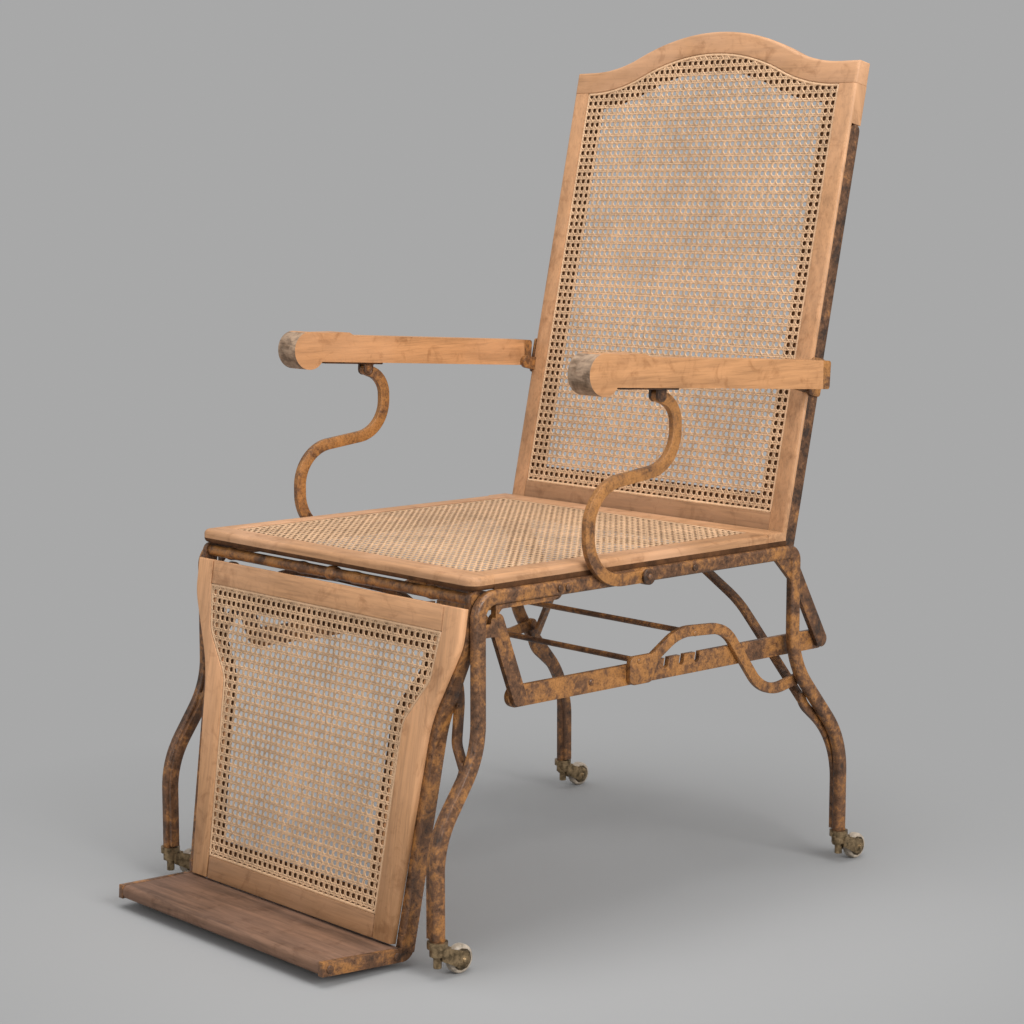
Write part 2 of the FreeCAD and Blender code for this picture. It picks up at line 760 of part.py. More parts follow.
def make_seat():
    half = z.seat_half_width
    member = z.seat_member
    front = -z.seat_front_reach
    rear = z.seat_rear_reach
    bottom = z.rail_height + z.bar_width / 2
    top = bottom + z.seat_thickness
    corners = [(-half, front, z.seat_corner_round), (half, front, z.seat_corner_round),
               (half, front + member, 0), (-half, front + member, 0)]
    body, plate = level_plate("SeatFront", corners, SEAT_BOTTOM, "seat_thickness")
    fillet(body, plate, "seat_edge_round",
           lambda edge: edge_lies_at(edge, "Z", (top, bottom)) and edge.BoundBox.YMin < front + member / 2)
    lip = z.cane_lip
    across = half - member
    ledge = seat_ledge("Front", [(-across, front + member), (across, front + member),
                                 (across, front + member + lip), (-across, front + member + lip)])
    keep(joined("SeatFrontRail", [body, ledge]), "seat_front_rail")
    for label, side in SIDES:
        corners = mirror_x([(half - member, front + member, 0), (half, front + member, 0),
                            (half, rear - member, 0), (half - member, rear - member, 0)], side)
        body, plate = level_plate("SeatSide" + label, corners, SEAT_BOTTOM, "seat_thickness")
        fillet(body, plate, "seat_edge_round",
               lambda edge: edge_lies_at(edge, "X", (side * half,)) and edge_lies_at(edge, "Z", (top,)))
        ledge = seat_ledge("Side" + label, mirror_x([
            (across - lip, front + member + lip, 0), (across, front + member + lip, 0),
            (across, rear - member - lip, 0), (across - lip, rear - member - lip, 0)], side))
        keep(joined("SeatSideRail" + label, [body, ledge]), "seat_side_rail_" + label)
    corners = [(-half, rear - member, 0), (half, rear - member, 0), (half, rear, 0), (-half, rear, 0)]
    body = level_plate("SeatBack", corners, SEAT_BOTTOM, "seat_thickness")[0]
    ledge = seat_ledge("Back", [(-across, rear - member - lip), (across, rear - member - lip),
                                (across, rear - member), (-across, rear - member)])
    keep(joined("SeatBackRail", [body, ledge]), "seat_back_rail")
    corners = [(member - half, front + member, 0), (half - member, front + member, 0),
               (half - member, rear - member, 0), (member - half, rear - member, 0)]
    height = SEAT_BOTTOM + " + seat_thickness - seat_cane_drop - cane_thickness"
    keep(level_plate("SeatCane", corners, height, "cane_thickness")[0], "seat_cane")


# Back

BACK_REAR = "back_lead - back_thickness"


LEDGE_DEPTH = "back_thickness - back_cane_drop - cane_thickness"


def back_plate(name, corners, start, thickness):
    return sloped_plate(name, corners, "rear_rod_reach", "pivot_height", "back_slope", start, thickness)


def crest_corners(inset):
    """The crest's curved edge from right to left, moved inwards by the inset: points on arcs."""
    span = z.back_half_width - z.back_shoulder_flat
    swing = 2 * math.atan2(z.back_rise, span)
    total = span / math.sin(swing)
    crown = total * z.back_arc_share
    hollow = total - crown
    peak = z.back_shoulder + z.back_rise
    joins = []
    for side in (1, -1):
        turn_a = side * crown * math.sin(swing)
        centre_b = z.back_shoulder + hollow
        mid = swing / 2
        joins.append({
            "flat": (side * span, z.back_shoulder - inset),
            "hollow": (side * (span - (hollow + inset) * math.sin(mid)),
                       centre_b - (hollow + inset) * math.cos(mid)),
            "turn": (turn_a - side * inset * math.sin(swing),
                     peak - crown + (crown - inset) * math.cos(swing))})
    right, left = joins
    top = (0, peak - inset)
    return [Part.Arc(flat(right["flat"]), flat(right["hollow"]), flat(right["turn"])),
            Part.Arc(flat(right["turn"]), flat(top), flat(left["turn"])),
            Part.Arc(flat(left["turn"]), flat(left["hollow"]), flat(left["flat"]))]


def edge_line(start, end):
    return Part.LineSegment(flat(start), flat(end))


def stile_rebate(label, side):
    """What is cut from a stile: the iron's bed, and the gap in front of it for the arm's ear."""
    bed = z.back_half_width - z.iron_thickness - z.side_play
    past = z.back_half_width + z.overrun
    low = z.back_start - z.overrun
    top = z.iron_length + z.iron_width / 2 + z.side_play
    iron = mirror_x([(bed, low, 0), (past, low, 0), (past, top, 0), (bed, top, 0)], side)
    along, ahead = arm_pin_on_back()
    reach = z.arm_bracket_width / 2 + z.side_play
    ear = mirror_x([(bed, along - reach, 0), (past, along - reach, 0), (past, along + reach, 0),
                    (bed, along + reach, 0)], side)
    return joined("StileRebate" + label, [
        back_plate("IronBed" + label, iron, BACK_REAR + " - overrun",
                   "back_thickness - back_lead + overrun + iron_width / 2 + side_play")[0],
        back_plate("EarGap" + label, ear, "0", "back_lead + overrun")[0]])


def arm_pin_on_back():
    """How far up the back the arm's pin is, and how far ahead of the irons' middle."""
    slope = math.radians(z.back_slope)
    return (z.arm_run * math.sin(slope) + z.arm_rise * math.cos(slope),
            z.arm_rise * math.sin(slope) - z.arm_run * math.cos(slope))


def make_back():
    half = z.back_half_width
    inner = half - z.back_member
    low = z.back_start
    high = z.back_shoulder - z.back_crest_width
    lean = math.radians(z.back_slope)
    for label, side in SIDES:
        corners = mirror_x([(inner, low, 0), (half, low, 0), (half, high, 0), (inner, high, 0)], side)
        body, plate = back_plate("Stile" + label, corners, BACK_REAR, "back_thickness")
        front = z.rear_rod_reach + (low + high) / 2 * math.sin(lean)
        fillet(body, plate, "back_edge_round",
               lambda edge: edge_lies_at(edge, "X", (side * half,)) and edge.Length > z.back_shoulder / 2
               and edge.CenterOfMass.y < front)
        corners = mirror_x([(inner - z.cane_lip, low + z.back_member + z.cane_lip, 0),
                            (inner, low + z.back_member + z.cane_lip, 0), (inner, high - z.cane_lip, 0),
                            (inner - z.cane_lip, high - z.cane_lip, 0)], side)
        ledge = back_plate("StileLedge" + label, corners, BACK_REAR, LEDGE_DEPTH)[0]
        keep(cut("StileCut" + label, joined("StileBlank" + label, [body, ledge]), stile_rebate(label, side)),
             "back_stile_" + label)

    outer_edge = crest_corners(0)
    inner_edge = crest_corners(z.back_crest_width)
    flat_start = z.back_half_width - z.back_shoulder_flat
    top = z.back_shoulder
    edges = [edge_line((half, high), (half, top)), edge_line((half, top), (flat_start, top))]
    edges += outer_edge
    edges += [edge_line((-flat_start, top), (-half, top)), edge_line((-half, top), (-half, high)),
              edge_line((-half, high), (-flat_start, high))]
    edges += inner_edge
    edges += [edge_line((flat_start, high), (half, high))]
    body = doc.addObject("PartDesign::Body", "Crest")
    sketch = add_sketch(body, "XZ_Plane", edges)
    place_sloped(sketch, "rear_rod_reach", "pivot_height", "back_slope", BACK_REAR)
    pad(body, sketch, "back_thickness")
    step = high - z.cane_lip
    edges = [edge_line((flat_start, high), (inner, high)), edge_line((inner, high), (inner, step)),
             edge_line((inner, step), (flat_start, step))]
    edges += crest_corners(z.back_crest_width + z.cane_lip)
    edges += [edge_line((-flat_start, step), (-inner, step)), edge_line((-inner, step), (-inner, high)),
              edge_line((-inner, high), (-flat_start, high))]
    edges += inner_edge
    ledge = doc.addObject("PartDesign::Body", "CrestLedge")
    sketch = add_sketch(ledge, "XZ_Plane", edges)
    place_sloped(sketch, "rear_rod_reach", "pivot_height", "back_slope", BACK_REAR)
    pad(ledge, sketch, LEDGE_DEPTH)
    keep(joined("CrestRail", [body, ledge]), "back_crest_rail")

    base = low + z.back_member
    corners = [(-inner, low, 0), (inner, low, 0), (inner, base, 0), (-inner, base, 0)]
    body = back_plate("BackBottom", corners, BACK_REAR, "back_thickness")[0]
    corners = [(-inner, base, 0), (inner, base, 0), (inner, base + z.cane_lip, 0),
               (-inner, base + z.cane_lip, 0)]
    ledge = back_plate("BottomLedge", corners, BACK_REAR, LEDGE_DEPTH)[0]
    keep(joined("BackBottomRail", [body, ledge]), "back_bottom_rail")

    edges = [edge_line((inner, base), (inner, high)), edge_line((inner, high), (flat_start, high))]
    edges += inner_edge
    edges += [edge_line((-flat_start, high), (-inner, high)), edge_line((-inner, high), (-inner, base)),
              edge_line((-inner, base), (inner, base))]
    body = doc.addObject("PartDesign::Body", "BackCane")
    sketch = add_sketch(body, "XZ_Plane", edges)
    place_sloped(sketch, "rear_rod_reach", "pivot_height", "back_slope",
                 "back_lead - back_cane_drop - cane_thickness")
    pad(body, sketch, "cane_thickness")
    keep(body, "back_cane")


def place_sloped(sketch, reach, height, slope, start):
    """Lean a sketch back by the slope about a line across the chair."""
    sketch.AttachmentOffset = Placement(Vector(0, 0, 0), Rotation(Vector(1, 0, 0), -1))
    bind(sketch, "AttachmentOffset.Base.y", "(%s) + (%s) * sin((%s) * 1 deg)" % (height, start, slope))
    bind(sketch, "AttachmentOffset.Base.z", "-(%s) + (%s) * cos((%s) * 1 deg)" % (reach, start, slope))
    bind(sketch, "AttachmentOffset.Rotation.Angle", "-(%s)" % slope)


# Back irons, with an eye on the hinge rod and a tail that drives the link bar

IRON_INNER = "iron_inner"


def link_drop():
    return math.sqrt(z.link_radius ** 2 - z.link_reach ** 2)


def make_back_irons():
    slope = math.radians(z.back_slope)
    pivot = (z.rear_rod_reach, z.pivot_height)
    top = (pivot[0] + z.iron_length * math.sin(slope), pivot[1] + z.iron_length * math.cos(slope), 0)
    tail = (pivot[0] + z.link_reach, pivot[1] - link_drop(), 0)
    for label, side in SIDES:
        upper = side_plate("IronUpper" + label, ribbon([(pivot[0], pivot[1], 0), top], z.iron_width),
                           IRON_INNER, "iron_thickness", side)[0]
        lower = side_plate("IronTail" + label, ribbon([(pivot[0], pivot[1], 0), tail], z.tail_width),
                           IRON_INNER, "iron_thickness", side)[0]
        start = IRON_INNER if side > 0 else "-(%s) - iron_thickness" % IRON_INNER
        eye = along_x("IronEye" + label, "iron_eye_radius", "iron_thickness", start,
                      "rear_rod_reach", "pivot_height")
        blank = joined("IronBlank" + label, [upper, lower, eye])
        bore = along_x("IronBore" + label, "rod_radius + rod_play", "iron_thickness + 2 * overrun",
                       "(%s) - overrun" % start, "rear_rod_reach", "pivot_height")
        bored = cut("BackIronBored" + label, blank, bore)
        keep(pin_seat("BackIron" + label, bored, side, "rear_rod_reach + link_reach", LINK_HEIGHT,
                      "link_pin_radius", IRON_INNER, "iron_thickness / 2"), "back_iron_" + label)


def on_back(up, forward):
    """A point that far up the back from the hinge rod and ahead of the irons' middle."""
    slope = math.radians(z.back_slope)
    return (z.rear_rod_reach + up * math.sin(slope) - forward * math.cos(slope),
            z.pivot_height + up * math.cos(slope) + forward * math.sin(slope))


def make_arm_brackets():
    """Ears that carry the arms' rear pins, with a cheek plate over each iron."""
    along, ahead = arm_pin_on_back()
    half = z.iron_width / 2
    middle = along + z.arm_cheek_rise
    high = middle + z.arm_cheek_height / 2
    low = middle - z.arm_cheek_height / 2
    lead = half + z.arm_cheek_lead
    cheek = [on_back(up, forward) + (z.arm_edge_round,)
             for up, forward in ((low, lead), (low, -half), (high, -half), (high, lead))]
    brackets = []
    for label, side in SIDES:
        ear = ribbon([on_back(along, ahead) + (0,), on_back(along, half) + (0,)],
                     z.arm_bracket_width, True, False)
        plate = joined("EarPlate" + label, [
            side_plate("Ear" + label, ear, IRON_INNER, "iron_thickness", side)[0],
            side_plate("Cheek" + label, cheek, IRON_INNER + " + iron_thickness",
                       "arm_cheek_thickness", side)[0]])
        start = IRON_INNER if side > 0 else "-(%s) - iron_thickness" % IRON_INNER
        bore = along_x("EarBore" + label, "arm_pin_radius + rod_play", "iron_thickness + 2 * overrun",
                       "(%s) - overrun" % start, "rear_rod_reach + arm_run", "pivot_height + arm_rise")
        brackets.append(cut("EarCut" + label, plate, bore))
    keep(group("ArmBrackets", brackets), "arm_hinge_brackets")


def headed_pin(name, radius, head_radius, head, length, side, inner, place, height):
    """A pin along X from the inner X outwards, with its head on the inner end."""
    if side > 0:
        shank_start = inner
        head_start = "(%s) - (%s)" % (inner, head)
    else:
        shank_start = "-(%s) - (%s)" % (inner, length)
        head_start = "-(%s)" % inner
    shank = along_x(name + "Shank", radius, length, shank_start, place, height)
    cap = along_x(name + "Head", head_radius, head, head_start, place, height)
    return joined(name, [shank, cap])


LINK_INNER = IRON_INNER + " - side_play - link_thickness"


def make_link_pins():
    length = "link_thickness + 2 * side_play + iron_thickness / 2"
    rear = []
    front = []
    for label, side in SIDES:
        inner = LINK_INNER + " - side_play"
        rear.append(headed_pin("RearPin" + label, "link_pin_radius", "link_pin_head_radius",
                               "link_pin_head_height", length, side, inner,
                               "rear_rod_reach + link_reach", LINK_HEIGHT))
        front.append(headed_pin("FrontPin" + label, "link_pin_radius", "link_pin_head_radius",
                                "link_pin_head_height", length, side, inner,
                                "-front_rod_reach + link_reach", LINK_HEIGHT))
    keep(group("BackLinkPins", rear), "back_link_pins")
    keep(group("RestLinkPins", front), "leg_rest_link_pins")


def pin_seat(name, base, side, place, height, radius, start, depth):
    """Cut a pin's hole into a plate from its face at X = start outwards."""
    if side > 0:
        first = "(%s) - overrun" % start
    else:
        first = "-(%s) - (%s)" % (start, depth)
    hole = along_x(name + "Hole", radius, "(%s) + overrun" % depth, first, place, height)
    return cut(name, base, hole)


# Link bars

def link_outline():
    """A bar with round ends and a row of slanted notches in its upper edge."""
    half = z.link_height / 2
    middle = z.pivot_height - link_drop()
    rear = z.rear_rod_reach + z.link_reach + half
    front = -z.front_rod_reach + z.link_reach - half
    top = middle + half
    mouth = z.notch_width / 2
    corners = [(front, middle - half, half), (rear, middle - half, half), (rear, top, half)]
    for number in reversed(range(int(z.notch_count))):
        place = -z.notch_reach_first + number * z.notch_pitch
        floor = place - z.notch_lean
        low = top - z.notch_depth
        corners += [(place + mouth, top, 0), (floor + mouth, low, z.notch_floor_round),
                    (floor - mouth, low, z.notch_floor_round), (place - mouth, top, 0)]
    return corners + [(front, top, half)]


def make_link_bars():
    for label, side in SIDES:
        body = side_plate("Link" + label, link_outline(), LINK_INNER, "link_thickness", side)[0]
        snug = "link_pin_radius + bore_play"
        loose = "link_pin_radius + link_pin_open_play"
        holed = pin_seat("LinkRear" + label, body, side, "rear_rod_reach + link_reach", LINK_HEIGHT,
                         snug, LINK_INNER, "link_thickness + overrun")
        keep(pin_seat("LinkBar" + label, holed, side, "-front_rod_reach + link_reach", LINK_HEIGHT,
                      loose, LINK_INNER, "link_thickness + overrun"), "link_bar_" + label)


# Catch levers and their rods

def catch_path():
    return [(-z.catch_nose_reach, z.catch_nose_height, 0),
            (z.catch_crest_reach, z.catch_crest_height, z.catch_crest_bend),
            (z.catch_rise_reach, z.catch_rise_height, z.catch_rise_bend),
            (z.catch_low_reach, z.catch_low_height, z.catch_low_bend),
            (z.catch_pivot_reach, z.catch_pivot_height, 0)]


def make_catch():
    start = IRON_INNER
    for label, side in SIDES:
        strip = side_plate("Lever" + label, ribbon(catch_path(), z.catch_width), start,
                           "iron_thickness", side)[0]
        left = start if side > 0 else "-(%s) - iron_thickness" % start
        eye = along_x("LeverEye" + label, "catch_eye_radius", "iron_thickness", left,
                      "catch_pivot_reach", "catch_pivot_height")
        corners = [(-z.catch_plate_front, z.catch_plate_low, z.catch_plate_round),
                   (-z.catch_plate_rear, z.catch_plate_low, z.catch_plate_round),
                   (z.catch_plate_rear, z.catch_plate_high, z.catch_plate_round),
                   (-z.catch_plate_front, z.catch_plate_high, z.catch_plate_round)]
        nose = side_plate("LeverNose" + label, corners, start, "iron_thickness", side)[0]
        blank = joined("LeverBlank" + label, [strip, nose, eye])
        bore = along_x("LeverBore" + label, "catch_bolt_radius + bore_play",
                       "iron_thickness + 2 * overrun", "(%s) - overrun" % left, "catch_pivot_reach",
                       "catch_pivot_height")
        keep(cut("CatchLever" + label, blank, bore), "catch_lever_" + label)
    ride = LINK_HEIGHT + " + link_height / 2 + catch_ride + catch_rod_radius"
    span = "2 * (%s)" % IRON_INNER
    keep(along_x("CatchRod", "catch_rod_radius", span, "-(%s)" % IRON_INNER, "-notch_reach_first", ride),
         "catch_rod")
    keep(along_x("HandleRod", "catch_rod_radius", span, "-(%s)" % IRON_INNER, "catch_handle_reach",
                 "catch_handle_height"), "catch_handle_rod")
    bolts = []
    for label, side in SIDES:
        inner = IRON_INNER + " - side_play"
        length = "(%s) - (%s)" % (FRAME_INNER, inner)
        bolts.append(headed_pin("CatchBolt" + label, "catch_bolt_radius", "catch_eye_radius - bar_round / 2",
                                "link_pin_head_height", length, side, inner, "catch_pivot_reach",
                                "catch_pivot_height"))
    keep(group("CatchBolts", bolts), "catch_pivot_bolts")


# Leg rest

def rest_plate(name, corners, start, thickness):
    return sloped_plate(name, corners, "-front_rod_reach", "pivot_height", "rest_slope", start, thickness)


REST_BACK = "rest_front_offset - rest_thickness"


def rest_outer():
    """The right outer edge from top to bottom."""
    return [(z.rest_half_top, -z.rest_start, 0),
            (z.rest_half_shoulder, -z.rest_shoulder, z.rest_shoulder_bend),
            (z.rest_half_waist, -z.rest_waist, z.rest_waist_bend),
            (z.rest_half_bottom, -z.rest_end, 0)]


def rest_inner(inset=0):
    """The right edge of the opening from top to bottom, moved inwards by the inset."""
    return [(z.rest_open_half_top - inset, -z.rest_open_top, 0),
            (z.rest_open_half_shoulder - inset, -z.rest_open_shoulder, z.rest_open_shoulder_bend),
            (z.rest_open_half_waist - inset, -z.rest_open_waist, z.rest_open_waist_bend),
            (z.rest_open_half_bottom - inset, -z.rest_open_bottom, 0)]


def rest_ledge(name, corners):
    return rest_plate("RestLedge" + name, corners, REST_BACK,
                      "rest_thickness - rest_cane_drop - cane_thickness")[0]


def make_leg_rest():
    outer = rest_outer()
    inner = rest_inner()
    front = "rest_thickness"
    for label, side in SIDES:
        corners = outer[::-1] + [(z.rest_open_half_top, -z.rest_start, 0)] + inner
        corners += [(z.rest_open_half_bottom, -z.rest_end, 0)]
        body = rest_plate("RestStile" + label, mirror_x(corners, side), REST_BACK, front)[0]
        ledge = rest_ledge("Stile" + label, mirror_x(inner[::-1] + rest_inner(z.cane_lip), side))
        keep(joined("LegRestStile" + label, [body, ledge]), "leg_rest_stile_" + label)
    top, shoulder, waist, bottom = rest_inner(z.cane_lip)
    for label, half, high, low, start, after, way in (
            ("top", z.rest_open_half_top, z.rest_start, z.rest_open_top, top, shoulder, -1),
            ("bottom", z.rest_open_half_bottom, z.rest_open_bottom, z.rest_end, bottom, waist, 1)):
        corners = [(-half, -low, 0), (half, -low, 0), (half, -high, 0), (-half, -high, 0)]
        body = rest_plate("RestRail" + label, corners, REST_BACK, front)[0]
        share = z.cane_lip / abs(after[1] - start[1])
        end = start[0] + (after[0] - start[0]) * share
        level = start[1] + way * z.cane_lip
        corners = [(-start[0], start[1], 0), (start[0], start[1], 0), (end, level, 0), (-end, level, 0)]
        ledge = rest_ledge("Rail" + label, corners)
        keep(joined("LegRestRail" + label, [body, ledge]), "leg_rest_%s_rail" % label)
    corners = inner[::-1] + mirror_x(inner[::-1], -1)
    start = "rest_front_offset - rest_cane_drop - cane_thickness"
    keep(rest_plate("RestCane", corners, start, "cane_thickness")[0], "leg_rest_cane")


def rest_iron_outline():
    """The bar behind the leg rest's edge, from its hinge down to the foot."""
    layer = z.iron_inner + z.iron_thickness
    top = -z.rest_eye_radius / 2
    outer = [(layer, top, 0), (layer, -z.rest_shoulder, z.rest_shoulder_bend),
             (z.rest_iron_outer_waist, -z.rest_waist, z.rest_waist_bend),
             (z.rest_iron_outer_bottom, -z.rest_iron_end, 0)]
    inner = [(z.rest_iron_inner_bottom, -z.rest_iron_end, 0),
             (z.rest_iron_inner_waist, -z.rest_waist, z.rest_waist_bend),
             (z.iron_inner, -z.rest_shoulder, z.rest_shoulder_bend), (z.iron_inner, top, 0)]
    return outer + inner


def foot_line(depth, drop):
    """A point that far forward of the footboard's rear edge and below its top."""
    slope = math.radians(z.foot_slope)
    return (-z.foot_rear_reach - depth * math.cos(slope) + drop * -math.sin(slope),
            z.foot_top_height + depth * math.sin(slope) - drop * math.cos(slope))


def strap_face():
    """Rear and front ends of the strap's outer face, as (x, y)."""
    rear = -z.foot_rear_reach + z.rest_iron_depth
    end = foot_line(z.foot_depth, z.foot_thickness)[0] - z.overrun
    return ((z.foot_half_rear + z.foot_strap_thickness, rear),
            (z.foot_half_front + z.foot_strap_thickness, end))


def make_foot_strap(label, side):
    """The bar's lower end, turned forward along the footboard's end."""
    rear = -z.foot_rear_reach + z.rest_iron_depth
    front = foot_line(z.foot_depth, 0)
    low_front = foot_line(z.foot_depth, z.foot_thickness)
    low_rear = foot_line(0, z.foot_thickness)
    profile = [front + (0,), (low_front[0], low_front[1], 0), (rear, low_rear[1], z.foot_strap_bend),
               (rear, z.foot_strap_rise, 0), (-z.foot_rear_reach + z.side_play, z.foot_strap_rise, 0),
               (-z.foot_rear_reach, z.foot_top_height, 0)]
    wide = side_plate("StrapSide" + label, profile[::-1], "rest_iron_inner_bottom - foot_strap_thickness",
                      "rest_iron_outer_bottom - rest_iron_inner_bottom + 2 * foot_strap_thickness", side)[0]
    face_rear, face_front = strap_face()
    run = z.foot_depth * math.cos(math.radians(z.foot_slope))
    taper = (z.foot_half_rear - z.foot_half_front) / run
    tip = z.foot_half_rear - taper * (-z.foot_rear_reach - face_front[1])
    clear = z.side_play / 4
    corner = z.foot_half_rear + clear
    behind = -z.foot_rear_reach + z.foot_strap_thickness / 2
    plan = [(z.rest_iron_inner_bottom, rear, 0), (z.rest_iron_inner_bottom, behind, 0),
            (corner, behind, 0), (corner, -z.foot_rear_reach, 0), (tip + clear, face_front[1], 0),
            face_front + (0,), face_rear + (0,)]
    level = level_plate("StrapPlan" + label, mirror_x(plan, side), "0", "foot_strap_rise + overrun")[0]
    result = doc.addObject("Part::MultiCommon", "Strap" + label)
    result.Shapes = [wide, level]
    return result


def make_leg_rest_irons():
    pin = (-z.front_rod_reach + z.link_reach, z.pivot_height - link_drop(), 0)
    top = (-z.crank_top_reach, z.crank_top_height, 0)
    lug = [(-z.crank_top_reach, z.rest_lug_height, 0),
           (-z.front_rod_reach - z.rest_lug_width / 2, z.rest_lug_height, 0)]
    for label, side in SIDES:
        crank = side_plate("Crank" + label, ribbon([top, pin], z.crank_width), IRON_INNER,
                           "iron_thickness", side)[0]
        start = IRON_INNER if side > 0 else "-(%s) - iron_thickness" % IRON_INNER
        arm = side_plate("Lug" + label, ribbon(lug, z.rest_lug_width, True, False), IRON_INNER,
                         "iron_thickness", side)[0]
        eye = along_x("RestEye" + label, "rest_eye_radius", "iron_thickness", start,
                      "-front_rod_reach", "pivot_height")
        bar = rest_plate("RestBar" + label, mirror_x(rest_iron_outline(), side),
                         REST_BACK + " - rest_iron_depth", "rest_iron_depth")[0]
        blank = joined("RestIronBlank" + label, [crank, arm, eye, bar, make_foot_strap(label, side)])
        bore = along_x("RestBore" + label, "rod_radius + rod_play", "iron_thickness + 2 * overrun",
                       "(%s) - overrun" % start, "-front_rod_reach", "pivot_height")
        bored = cut("RestIronBored" + label, blank, bore)
        keep(pin_seat("RestIron" + label, bored, side, "-front_rod_reach + link_reach", LINK_HEIGHT,
                      "link_pin_radius", IRON_INNER, "iron_thickness / 2"), "leg_rest_iron_" + label)


def make_footboard():
    body = doc.addObject("PartDesign::Body", "Footboard")
    corners = [(-z.foot_half_front, -z.foot_depth, 0), (z.foot_half_front, -z.foot_depth, 0),
               (z.foot_half_rear, 0, 0), (-z.foot_half_rear, 0, 0)]
    sketch = add_sketch(body, "XY_Plane", outline_edges(corners))
    sketch.AttachmentOffset = Placement(Vector(0, 0, 0), Rotation(Vector(1, 0, 0), -1))
    bind(sketch, "AttachmentOffset.Base.y", "-foot_rear_reach")
    bind(sketch, "AttachmentOffset.Base.z", "foot_top_height")
    bind(sketch, "AttachmentOffset.Rotation.Angle", "-foot_slope")
    board = pad(body, sketch, "foot_thickness")
    board.Reversed = True
    front = foot_line(z.foot_depth, 0)[0] + z.foot_edge_round
    fillet(body, board, "foot_edge_round",
           lambda edge: edge.BoundBox.YMax < front and edge.Length > z.foot_half_front)
    keep(body, "footboard")
    screws = []
    face_rear, face_front = strap_face()
    outward = (face_rear[1] - face_front[1], face_front[0] - face_rear[0])
    for label, side in SIDES:
        for end, depth in (("Front", z.foot_depth - z.foot_screw_inset), ("Rear", z.foot_screw_inset * 3 / 4)):
            place = foot_line(depth, z.foot_thickness / 2)
            shape = doc.addObject("Part::Cylinder", "FootScrew%s%s" % (end, label))
            bind(shape, "Radius", "foot_screw_radius")
            bind(shape, "Height", "foot_screw_height")
            share = (face_rear[1] - place[0]) / (face_rear[1] - face_front[1])
            across = face_rear[0] + share * (face_front[0] - face_rear[0])
            shape.Placement = Placement(Vector(side * across, place[0], place[1]),
                                        Rotation(Vector(0, 0, 1), Vector(side * outward[0], outward[1], 0)))
            screws.append(shape)
    keep(group("FootScrews", screws), "footboard_screws")


# Arms

def arm_frame():
    """The arm pin, and the ways forward and up along the arm."""
    slope = math.radians(z.arm_slope)
    pin = (z.rear_rod_reach + z.arm_run, z.pivot_height + z.arm_rise)
    return pin, (-math.cos(slope), math.sin(slope)), (math.sin(slope), math.cos(slope))


def on_arm(forward, up):
    pin, ahead, above = arm_frame()
    return (pin[0] + ahead[0] * forward + above[0] * up, pin[1] + ahead[1] * forward + above[1] * up)


def arm_outline():
    """A level bar that ends in a round roll, with a low pad behind the roll on top."""
    low = -z.arm_below_pin
    high = low + z.arm_height
    top = high + z.arm_pad_height
    bottom = low - z.arm_roll_drop
    radius = (top - bottom) / 2
    reach = z.arm_roll_reach
    turn = math.acos(((top + bottom) / 2 - low) / radius)
    step = z.arm_pad_height * 2
    return [(-z.arm_rear, low, z.arm_edge_round),
            (reach - radius * math.sin(turn), low, z.arm_throat_round),
            (reach - radius * math.tan(turn / 2), bottom, radius - z.arm_roll_throat),
            (reach + radius, bottom, radius), (reach + radius, top, radius - z.arm_pad_dip),
            (reach - radius, top - z.arm_pad_dip, radius), (z.arm_pad_end + step, top, step),
            (z.arm_pad_end, top, z.arm_pad_height), (z.arm_pad_end - step, high, z.arm_pad_height),
            (-z.arm_rear, high, z.arm_edge_round)]


def make_arms():
    corners = [on_arm(forward, up) + (bend,) for forward, up, bend in arm_outline()][::-1]
    for label, side in SIDES:
        body = side_plate("ArmBar" + label, corners, "arm_inner", "arm_width", side)[0]
        keep(pin_seat("Arm" + label, body, side, "rear_rod_reach + arm_run",
                      "pivot_height + arm_rise", "arm_pin_radius", "arm_inner", "arm_width / 2"),
             "arm_" + label)


SUPPORT_INNER = "frame_half_width + bar_depth / 2 + side_play"


def make_arm_plates():
    """A plate under each arm with two lugs, between which the support's top eye hangs."""
    top = (-z.support_reach + z.arm_run, z.support_height + z.arm_rise)
    pin, ahead, above = arm_frame()
    forward = (top[0] - pin[0]) * ahead[0] + (top[1] - pin[1]) * ahead[1]
    rise = (top[0] - pin[0]) * above[0] + (top[1] - pin[1]) * above[1]
    under = -z.arm_below_pin
    for label, side in SIDES:
        places = [(forward - z.arm_plate_rear, under - z.arm_plate_thickness),
                  (forward + z.arm_plate_front, under - z.arm_plate_thickness),
                  (forward + z.arm_plate_front, under), (forward - z.arm_plate_rear, under)]
        corners = [on_arm(a, b) + (0,) for a, b in places][::-1]
        middle = "arm_inner + arm_width / 2"
        plate = side_plate("ArmFlat" + label, corners, middle + " - arm_plate_width / 2",
                           "arm_plate_width", side)[0]
        pieces = [plate]
        gap = "side_play"
        lug = ribbon([top + (0,), on_arm(forward, under - z.arm_plate_thickness / 2) + (0,)],
                     2 * z.arm_lug_radius, True, False)
        for name, inner in (("In", SUPPORT_INNER + " - %s - arm_lug_thickness" % gap),
                            ("Out", SUPPORT_INNER + " + support_thickness + %s" % gap)):
            pieces.append(side_plate("Lug%s%s" % (name, label), lug, inner, "arm_lug_thickness", side)[0])
        blank = joined("PlateBlank" + label, pieces)
        keep(pin_seat("ArmPlate" + label, blank, side, "-support_reach + arm_run",
                      "support_height + arm_rise", "arm_pin_radius",
                      SUPPORT_INNER + " - side_play - arm_lug_thickness",
                      "support_thickness + 2 * side_play + 2 * arm_lug_thickness + overrun"),
             "arm_plate_" + label)


